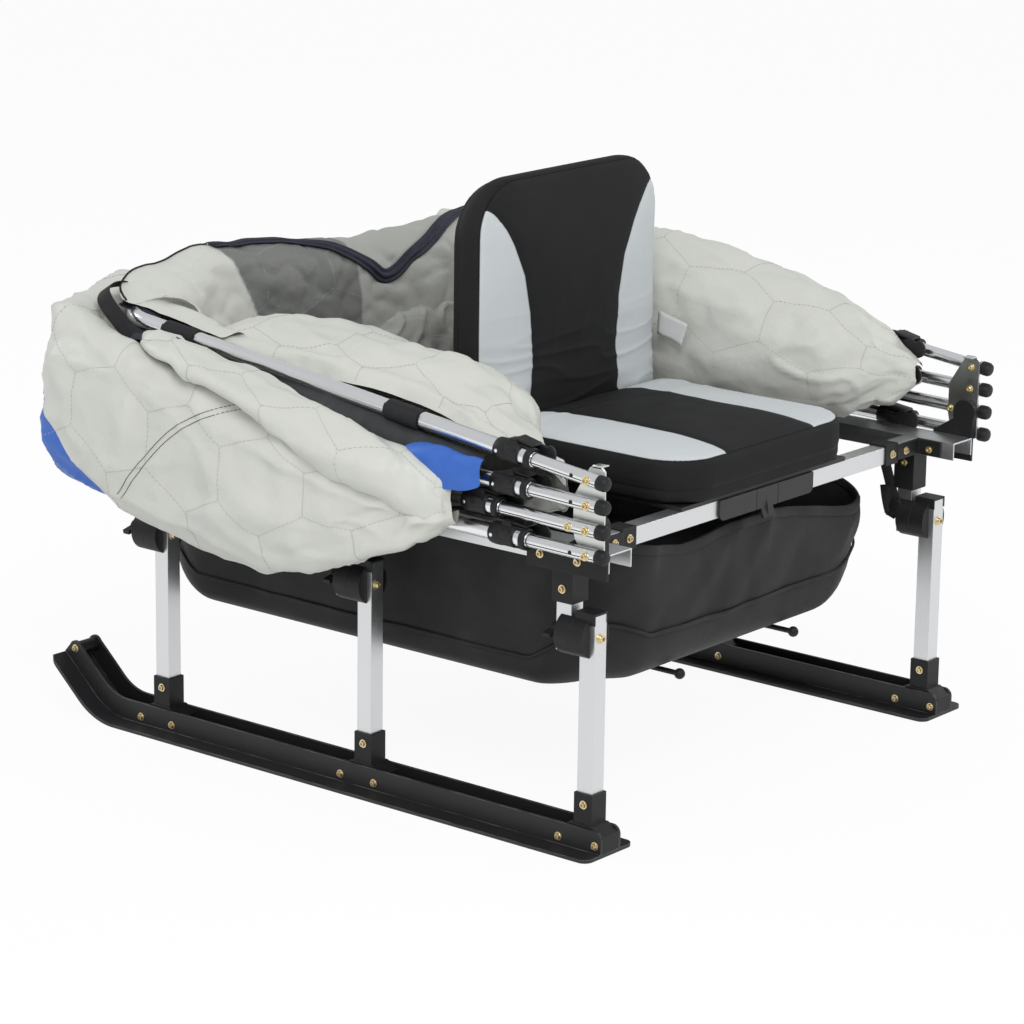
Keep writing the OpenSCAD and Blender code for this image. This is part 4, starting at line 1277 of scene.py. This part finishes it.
# Painted shade: behind the seat, the lining's inner face is darkened for its darker coating and for the shade in the
# well.
behind = np.clip((places[:, 1] - mid_leg - 0.335) / 0.02, 0, 1)
between = np.clip((0.37 - np.abs(places[:, 0])) / 0.04, 0, 1)
number_points(lining.data, "shade", behind * between * 0.6)
lining.data.materials.append(shell_cloth.material)

# Between the rear rim and the well, the sheet lies over the cross tubes like the inside of a hood.
rim_heights = [(-.470, .432, .657), (-.44, .464, .676), (-.40, .472, .690), (-.30, .474, .704), (-.20, .474, .704),
               (-.10, .472, .692), (.0, .470, .680), (.10, .470, .676), (.20, .470, .677), (.30, .470, .680),
               (.40, .470, .681), (.44, .464, .676), (.470, .432, .662)]
stations = []
for nx, ny, top in rim_heights:
    turn = max(0, abs(nx) - 0.36) / 0.11
    low = 0.545 - 0.03 * turn
    profile = [(0.0, top), (0.22, top - 0.002), (0.5, max(top - 0.008, 0.6625)), (0.76, max(top - 0.026, 0.655)),
               (0.93, 0.626), (1.0, low), (0.99, low - 0.07)]
    far = (nx - 0.085 * turn * np.sign(nx), mid_leg + 0.400 - 0.065 * turn)
    stations.append((nx, mid_leg + ny, *far, profile))
# Its two ends run forward beside the poles and go down behind the rolls.
for side in (-1, 1):
    ends = []
    for y, far_x, top in ((.402, .372, .652), (.350, .360, .644), (.300, .365, .636), (.250, .385, .628)):
        profile = [(0.0, top), (0.22, top + 0.005), (0.5, top + 0.003), (0.76, top - 0.022), (0.93, top - 0.055),
                   (1.0, 0.53), (0.99, 0.46)]
        ends.append((side * .4535, mid_leg + y, side * far_x, mid_leg + y - 0.02, profile))
    stations = ends[::-1] + stations if side < 0 else stations + ends
grid = folded(lofted(stations), 21.7, 0.0045, [((0.12, 0.3, 0.22), 1.0), ((0.06, 0.08, 0.10), 0.45)])
grid[:, :, 2] += 0.0015
hood = cloth_mesh("canopy_hood", grid)
quilted(hood, 33.0, depth=0.0008, fine=0.0016)
places = points_of(hood.data)
# Painted shade: right of the left corner, the hood's inner face is darkened for its darker coating and for shade, less
# so towards the right.
inside_and_shade = np.clip((places[:, 0] + 0.238 + (places[:, 2] - 0.66) * 0.4) / 0.004, 0, 1)
inside_and_shade *= np.where(places[:, 0] > 0.02, 0.55, 1.0) * np.where(places[:, 0] > 0.3, 0.3, 1.0)
number_points(hood.data, "shade", inside_and_shade)
hood.data.materials.append(shell_cloth.material)

# A loose flap is laid back over the left pouch, and hangs lower towards the front.
flap_line = [(-.4835, .352, -.512, .350, .606, .622), (-.4835, .325, -.540, .325, .600, .626),
             (-.4835, .28, -.557, .28, .592, .628), (-.4835, .22, -.568, .22, .577, .622),
             (-.4835, .15, -.575, .15, .566, .610), (-.4835, .074, -.580, .074, .546, .594),
             (-.4835, -.01, -.580, -.01, .494, .572), (-.4835, -.08, -.574, -.08, .474, .554),
             (-.4835, -.14, -.560, -.14, .464, .540), (-.4835, -.185, -.538, -.183, .456, .524),
             (-.4835, -.214, -.514, -.212, .458, .510)]
stations = drawn_at(flap_line, lambda low, high: roll_profile(low, high, 140, 2.0, 11)[:9])
grid = folded(lofted(stations), 40.2, 0.007, [((0.1, 0.16, 0.2), 1.0), ((0.05, 0.07, 0.09), 0.5)])
flap = cloth_mesh("canopy_flap", grid[::-1])
quilted(flap, 44.0, depth=0.0015)
flap.data.materials.append(shell_cloth.material)

# ---- Canopy stitching ----
# Pale thread runs in hexagons through the quilting. Twin rows of dark thread close the seam that
# climbs the left side of the outer sheet.

stitch_work = NodeWork("thread_stitches", {"Thread": "Float", "Stitch length": "Float"})
thread, stitch_length = (stitch_work.start.outputs[n] for n in ("Thread", "Stitch length"))
strand = stitch_work.node("GeometryNodeMeshCylinder", {}, {
    "Vertices": 5, "Side Segments": 2, "Radius": thread, "Depth": stitch_length})


def thread_finish(name, dark, light):
    made = Finish(name, {"Specular IOR Level": 0.2, "Roughness": 0.8})
    return made.set({"Base Color": made.mix(made.noise(300, 2), dark, light)})


cotton = thread_finish("quilting_thread", (0.42, 0.43, 0.40), (0.52, 0.53, 0.49))
dark_cotton = thread_finish("seam_thread", (0.03, 0.03, 0.035), (0.07, 0.07, 0.075))
stitch_work.finish(strand, cotton.material)


def stitches(name, rows, finish, size=0.00042, length=0.0042):
    """Stitches on the canopy; a row is a place and the way the thread runs."""
    made = stitch_work.run(name, marks([(*row, 1.0) for row in rows]), {"Thread": size, "Stitch length": length})
    made.data.materials.clear()
    made.data.materials.append(finish.material)
    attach(made, "canopy")


def tree_over(mesh, points):
    """A search tree over a mesh's faces with its points at these places."""
    return BVHTree.FromPolygons([tuple(p) for p in points], [tuple(face.vertices) for face in mesh.polygons])


def quilt_rows(piece):
    """Places and directions along the hexagons of a piece's flat pattern."""
    pitch = 0.0072
    mesh = piece.data
    flat = cut_of(mesh)
    corners = np.column_stack([flat, np.zeros(len(flat))])
    tree = tree_over(mesh, corners)
    places, outward = points_of(mesh), normals_of(mesh)
    wide, tall, arm = quilt_width, quilt_width * sqrt(3), quilt_width / sqrt(3)
    (u0, v0), (u1, v1) = flat.min(0) + 0.004, flat.max(0) - 0.004

    def lifted(u, v):
        hit, _, index, gap = tree.find_nearest((u, v, 0))
        if hit is None or gap > 0.002:
            return None
        face = list(mesh.polygons[index].vertices)
        shares = np.array(poly_3d_calc([Vector(corners[k]) for k in face], hit))
        return shares @ places[face] + shares @ outward[face] * 0.0003

    rows = []
    for i in range(int((u1 - u0) / wide) + 3):
        for j in range(int((v1 - v0) / tall) + 3):
            for du, dv in ((0, 0), (wide / 2, tall / 2)):
                cu = (i + round(u0 / wide) - 1) * wide + du
                cv = (j + round(v0 / tall) - 1) * tall + dv
                spokes = [Vector((cu + arm * sin(a), cv + arm * cos(a))) for a in radians(60) * np.arange(4)]
                for a, b in zip(spokes, spokes[1:]):
                    steps = int((b - a).length / pitch)
                    for k in range(steps):
                        near, far = a.lerp(b, (k + 0.2) / steps), a.lerp(b, (k + 0.75) / steps)
                        if not all(u0 < end.x < u1 and v0 < end.y < v1 for end in (near, far)):
                            continue
                        p, q = lifted(*near), lifted(*far)
                        if p is not None and q is not None and 0.001 < np.linalg.norm(q - p) < 0.009:
                            rows.append(((p + q) / 2, tuple(q - p)))
    return rows


quilt_thread = [row for piece in (skirt, lining, hood, flap) for row in quilt_rows(piece)]
stitches("quilt_stitches", quilt_thread, cotton)


def on_surface(piece, points, seen, lift):
    """Points moved on to a piece's nearest surface, with the way it faces on the seen side."""
    tree = tree_over(piece.data, points_of(piece.data))
    out = []
    for p in points:
        hit, facing, _, _ = tree.find_nearest(tuple(p))
        facing = facing if facing.dot(Vector(seen)) > 0 else -facing
        out.append((np.array(hit + facing * lift), np.array(facing)))
    return np.array([o[0] for o in out]), np.array([o[1] for o in out])


def path_through(points, step):
    """An even path through points whose y is from the middle legs."""
    return evened(np.array([(x, mid_leg + y, z) for x, y, z in points], float), step)


seam_line = path_through([(-.60, .335, .402), (-.60, .302, .443), (-.60, .254, .493), (-.60, .208, .528),
                          (-.60, .155, .553), (-.60, .106, .568)], 0.0055)
tree = tree_over(skirt.data, points_of(skirt.data))
rows = []
for offset in (-0.0045, 0.0045):
    at = []
    for p in seam_line + np.array([0, 0.75, 0.65]) * offset:
        hit = tree.ray_cast(Vector((-0.7, p[1], p[2])), Vector((1, 0, 0)))[0]
        if hit:
            at.append(np.array(hit) + [-0.0006, 0, 0])
    rows += [((a + b) / 2, tuple(b - a)) for a, b in zip(at, at[1:])]
stitches("side_seam", rows, dark_cotton, size=0.0005, length=0.0045)

# ---- Zips, straps and wraps ----
# Coil zips of navy tape edge the rim of the canopy. A webbing loop gathers its left corner, and
# hook-and-loop wraps tie it to the top bow.

zip_tape = Finish("zip_tape", {"Specular IOR Level": 0.3})
run, _, _ = zip_tape.axes(zip_tape.node("UVMap", {"uv_map": "cut"}))
coils = (run * 3600).sine() * 0.5 + 0.5
zip_tape.set({"Base Color": zip_tape.mix(zip_tape.noise(90, 3), (0.010, 0.011, 0.021), (0.024, 0.027, 0.048)),
              "Roughness": 0.62, "Normal": zip_tape.bump(coils, 0.0004, strength=0.4)})
webbing = Finish("webbing", {"Specular IOR Level": 0.25})
run, wide, _ = webbing.axes(webbing.node("UVMap", {"uv_map": "cut"}))
ribbing = (run * 2400).sine() * (wide * 5200).sine() * 0.5 + 0.5
webbing.set({"Base Color": webbing.mix(webbing.noise(70, 3), (0.010, 0.010, 0.011), (0.028, 0.028, 0.030)),
             "Roughness": 0.66 + ribbing * 0.1, "Normal": webbing.bump(ribbing, 0.0004, strength=0.5)})
pile = Finish("loop_pile", {"Specular IOR Level": 0.15})
tufts = pile.noise(700, 2)
pile.set({"Base Color": pile.mix(tufts, (0.012, 0.012, 0.013), (0.045, 0.045, 0.047)), "Roughness": 0.9,
          "Normal": pile.bump(tufts, 0.0006, strength=0.6)})


def band(name, path, facing, section, slot, finish):
    """A band along a path, lying across the way that facing points, with its length as its UV."""
    path, facing = np.asarray(path, float), np.asarray(facing, float)
    along = np.gradient(path, axis=0)
    along /= np.linalg.norm(along, axis=1)[:, None]
    facing = facing - along * (facing * along).sum(1)[:, None]
    facing /= np.linalg.norm(facing, axis=1)[:, None]
    made = sweep(name, path, np.cross(along, facing), facing, section)
    run = np.concatenate([[0], np.cumsum(np.linalg.norm(np.diff(path, axis=0), axis=1))])
    flat = np.column_stack([np.repeat(run, len(section)), np.tile([a for a, _ in section], len(path))])
    corner_uv = flat[corners_of(made.data)]
    made.data.uv_layers.new(name="cut").data.foreach_set("uv", corner_uv.astype(np.float32).ravel())
    made.data.materials.append(finish.material)
    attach(made, "canopy")
    return made


# A zip's section: two tapes with the raised coil between them and a rib by each edge.
zip_section = [(-.0115, -.0005), (-.0115, .0005), (-.0085, .0012), (-.0065, .0005), (-.0035, .0007),
               (-.0026, .0022), (.0, .0027), (.0026, .0022), (.0035, .0007), (.0065, .0005), (.0085, .0012), (.0115, .0005),
               (.0115, -.0005), (.0, -.0009)]
rim_points = [(-.252, .462, .704), (-.200, .461, .704), (-.150, .460, .700), (-.090, .454, .690), (-.030, .440, .675),
              (.015, .422, .660), (.045, .404, .642), (.072, .396, .618), (.105, .398, .622), (.145, .406, .640),
              (.190, .412, .656), (.240, .432, .670), (.320, .462, .682), (.400, .466, .682), (.450, .450, .674),
              (.470, .420, .662)]
rim_path, facing = on_surface(hood, path_through(rim_points, 0.008), (0, -0.5, 1), 0.0012)
for _ in range(3):
    rim_path[1:-1] = (rim_path[:-2] + rim_path[1:-1] * 2 + rim_path[2:]) / 4
    facing[1:-1] = (facing[:-2] + facing[1:-1] * 2 + facing[2:]) / 4
rim_path += facing * 0.0015
rim_zip = band("rim_zip", rim_path, facing, zip_section, "canopy_trim", zip_tape)
welt_points = [(-.466, .428, .657), (-.450, .456, .671), (-.420, .470, .684), (-.360, .474, .698), (-.300, .475, .705),
               (-.250, .476, .706)]
welt_path, facing = on_surface(hood, path_through(welt_points, 0.007), (0, 0.3, 1), 0.0008)
rim_welt = band("rim_welt", welt_path, facing, cord_section(0.0016), "canopy_trim", webbing)

# Short free ends of the other zips lie by the left corner.
corner_points = [(-.4515, .446, .6520), (-.4520, .425, .6485), (-.4525, .400, .6430), (-.4530, .376, .6365)]
pouch_points = [(-.494, .385, .6180), (-.500, .360, .6215), (-.506, .330, .6245), (-.510, .300, .6245),
                (-.511, .275, .6200)]


def short_zip(name, points, lean):
    path = path_through(points, 0.006)
    return band(name, path, np.tile([lean, 0, 1.0], (len(path), 1)), zip_section, "canopy_trim", zip_tape)


corner_zip = short_zip("corner_zip", corner_points, -0.35)
pouch_zip = short_zip("pouch_zip", pouch_points, -0.45)

# Webbing loop: round the left corner of the top bow and back under itself.
loop_points = [(-.488, .300, .590), (-.494, .345, .604), (-.496, .392, .622), (-.493, .430, .646), (-.484, .456, .664),
               (-.458, .470, .672), (-.430, .466, .672), (-.420, .452, .667)]
loop_path = path_through(loop_points, 0.006)
share = np.linspace(0, 1, len(loop_path))[:, None]
facing = np.array([[-1.0, 0.25, 0.25]]) * (1 - share) + np.array([[-0.1, 0.55, 0.9]]) * share
corner_loop = band("corner_loop", loop_path, facing, strip_section(0.025, 0.0016), "strap_black", webbing)


def wrap(name, centre):
    """A hook-and-loop tie round the top bow's left side pole: one turn, then its end laid over."""
    width = 0.060
    angles = np.linspace(-0.9, 2 * pi * 1.12, 46)
    radius = sleeve_r + 0.0013 + np.maximum(0, angles - 3.6) * 0.00065
    root = Pole(-1, *pole_rows[0])
    back = centre + mid_leg_to_pivot
    path = [np.array(root.place(back, r * cos(a), r * sin(a))) for a, r in zip(angles, radius)]
    facing = [np.array(root.out) * cos(a) + np.array(root.up) * sin(a) for a in angles]
    band(name, path, facing, strip_section(width, 0.0018), "strap_black", pile)


wrap("rear_wrap", 0.318)
wrap("front_wrap", -0.108)

# A short webbing strap with a flat hook hangs from each end bracket, for closing the cargo bag.
hook_outline = [(-.012, -.004), (-.004, -.0115), (.011, -.0115), (.0145, -.006), (.0145, .006), (.011, .0115),
                (-.004, .0115), (-.012, .004)]
strap_points = [(.3915, -.323, .4030), (.3925, -.328, .385), (.3955, -.335, .358), (.3985, -.342, .330),
                (.3990, -.345, .309), (.3960, -.343, .303), (.3935, -.338, .312), (.3925, -.333, .332),
                (.3920, -.330, .350)]


def fill_hook(work, side):
    middle = Vector((side * .3945, mid_leg - .349, .318))
    along, across = Vector((0, -0.45, -0.89)), Vector((0, 0.89, -0.45))
    prism_of(work, *[[middle + along * a + across * b + Vector((x, 0, 0)) for a, b in hook_outline]
                     for x in (-.0022, .0022)])


for side, name in both_sides:
    drop = path_through([(side * x, y, z) for x, y, z in strap_points], 0.005)
    across = np.tile([side * 0.35, -0.9, -0.25], (len(drop), 1))
    facing = np.cross(np.gradient(drop, axis=0), across)
    strap = band(name + "_bag_strap", drop, facing, strip_section(0.016, 0.0013), "strap_black", webbing)
    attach(strap, "frame")
    built(name + "_bag_hook", lambda work: fill_hook(work, side), "frame", nylon, soft=0.0007)

# ---- Window mesh and corner tab ----
# A strip of charcoal window cloth is tucked between the top pole and the outer pouch, and a blue
# reinforcing tab folds over the pouch's front end by the pivot plate.

smoke = Finish("window_cloth", {"Specular IOR Level": 0.3})
haze = smoke.noise(40, 3)
smoke.set({"Base Color": smoke.mix(haze, (0.018, 0.019, 0.021), (0.050, 0.052, 0.056)),
           "Roughness": 0.42 + haze * 0.2,
           "Normal": smoke.bump(smoke.noise(120, 3), 0.0008, strength=0.5)})
mesh_line = [(-.462, .215, -.486, .205, .596, .604), (-.462, .150, -.492, .145, .580, .598),
             (-.462, .080, -.497, .075, .566, .592), (-.462, .010, -.498, .005, .553, .582),
             (-.462, -.060, -.498, -.065, .543, .572), (-.462, -.130, -.496, -.135, .534, .560),
             (-.462, -.200, -.490, -.205, .527, .548), (-.462, -.250, -.484, -.255, .522, .540)]
windows = []


def window_profile(low, high):
    return [(0.0, high), (0.35, high + 0.001), (0.7, high - 0.006), (0.95, high - 0.018), (1.0, low - 0.006),
            (0.7, low - 0.012)]


for side, name in both_sides:
    stations = drawn_at([(-side * nx, ny, -side * fx, *rest) for nx, ny, fx, *rest in mesh_line], window_profile)
    grid = folded(lofted(stations), 61.3 + side, 0.004, [((0.07, 0.11, 0.2), 1.0), ((0.04, 0.05, 0.07), 0.6)])
    window = cloth_mesh(name + "_window_strip", grid[::-side])
    kept_with(window, "SUBSURF", levels=1, render_levels=1)
    window.data.materials.append(smoke.material)
    windows.append(window)

tab_blue = Finish("canopy_blue", {"Specular IOR Level": 0.4})
mottle = tab_blue.noise(60, 3)
tab_blue.set({"Base Color": tab_blue.mix(mottle, (0.045, 0.155, 0.56), (0.03, 0.11, 0.44)),
              "Roughness": 0.46 + mottle * 0.12,
              "Normal": tab_blue.bump(tab_blue.noise(120, 3), 0.0008, strength=0.5)})
tab_line = [(-.484, -.128, -.503, -.124, .524, .540), (-.484, -.155, -.512, -.150, .512, .549),
            (-.484, -.185, -.514, -.180, .503, .551), (-.484, -.215, -.511, -.212, .494, .547),
            (-.484, -.245, -.505, -.243, .496, .546), (-.486, -.268, -.500, -.267, .504, .542)]
stations = drawn_at(tab_line, lambda low, high: [
    (0.0, high - 0.002), (0.4, high + 0.001), (0.8, high - 0.003), (1.0, high - 0.014), (1.02, (low + high) / 2),
    (0.96, low)])
grid = folded(lofted(stations), 71.9, 0.0045, [((0.05, 0.05, 0.06), 1.0), ((0.02, 0.03, 0.04), 0.6)])
tab = cloth_mesh("corner_tab", grid[::-1])
kept_with(tab, "SUBSURF", levels=1, render_levels=1)
tab.data.materials.append(tab_blue.material)

# A bare folded tab is sewn on the right roll, by the backrest.
tab_corners = np.array([[(-.020, .603), (-.020, .566)], [(-.073, .587), (-.064, .552)]])
along, down = np.linspace(0, 1, 9)[:, None, None], np.linspace(0, 1, 7)[None, :, None]
flat_tab = ((tab_corners[0, 0] * (1 - down) + tab_corners[0, 1] * down) * (1 - along)
            + (tab_corners[1, 0] * (1 - down) + tab_corners[1, 1] * down) * along)
curl = 0.2225 - 0.0022 * np.sin(along * 5 + down * 1.6)
grid = np.concatenate([curl, mid_leg + flat_tab[..., :1], flat_tab[..., 1:]], axis=2)
lobe_tab = cloth_mesh("lobe_tab", grid)
thickened(lobe_tab, 0.0010, offset=0)
plain_tab = Finish("tab_cloth", {"Specular IOR Level": 0.3, "Roughness": 0.5})
plain_tab.set({"Base Color": plain_tab.mix(plain_tab.noise(50, 3), (0.60, 0.61, 0.60), (0.70, 0.71, 0.70))})
lobe_tab.data.materials.append(plain_tab.material)
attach(lobe_tab, "canopy")

# Every sheet rides with the bows. Its flat size is read off its pattern, and its area is held a
# little under both its surface and that rectangle.
for piece, slot, rest, pieces in (
        (skirt, "canopy_grey", ["top_bow", "second_bow"], [pouch_zip, corner_loop]),
        (lining, "canopy_grey", ["top_bow", "third_bow"], [lobe_tab]),
        (hood, "canopy_grey", ["top_bow"], [rim_zip, rim_welt, corner_zip]),
        (flap, "canopy_grey", [skirt], []),
        (windows[0], "canopy_trim", ["top_bow"], []),
        (windows[1], "canopy_trim", ["top_bow"], []),
        (tab, "canopy_blue", [skirt], [])):
    length, width = [float(reach) for reach in np.ptp(cut_of(piece.data), axis=0)]
    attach(piece, "canopy")
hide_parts("canopy_left", "canopy_right", "canopy_rear")
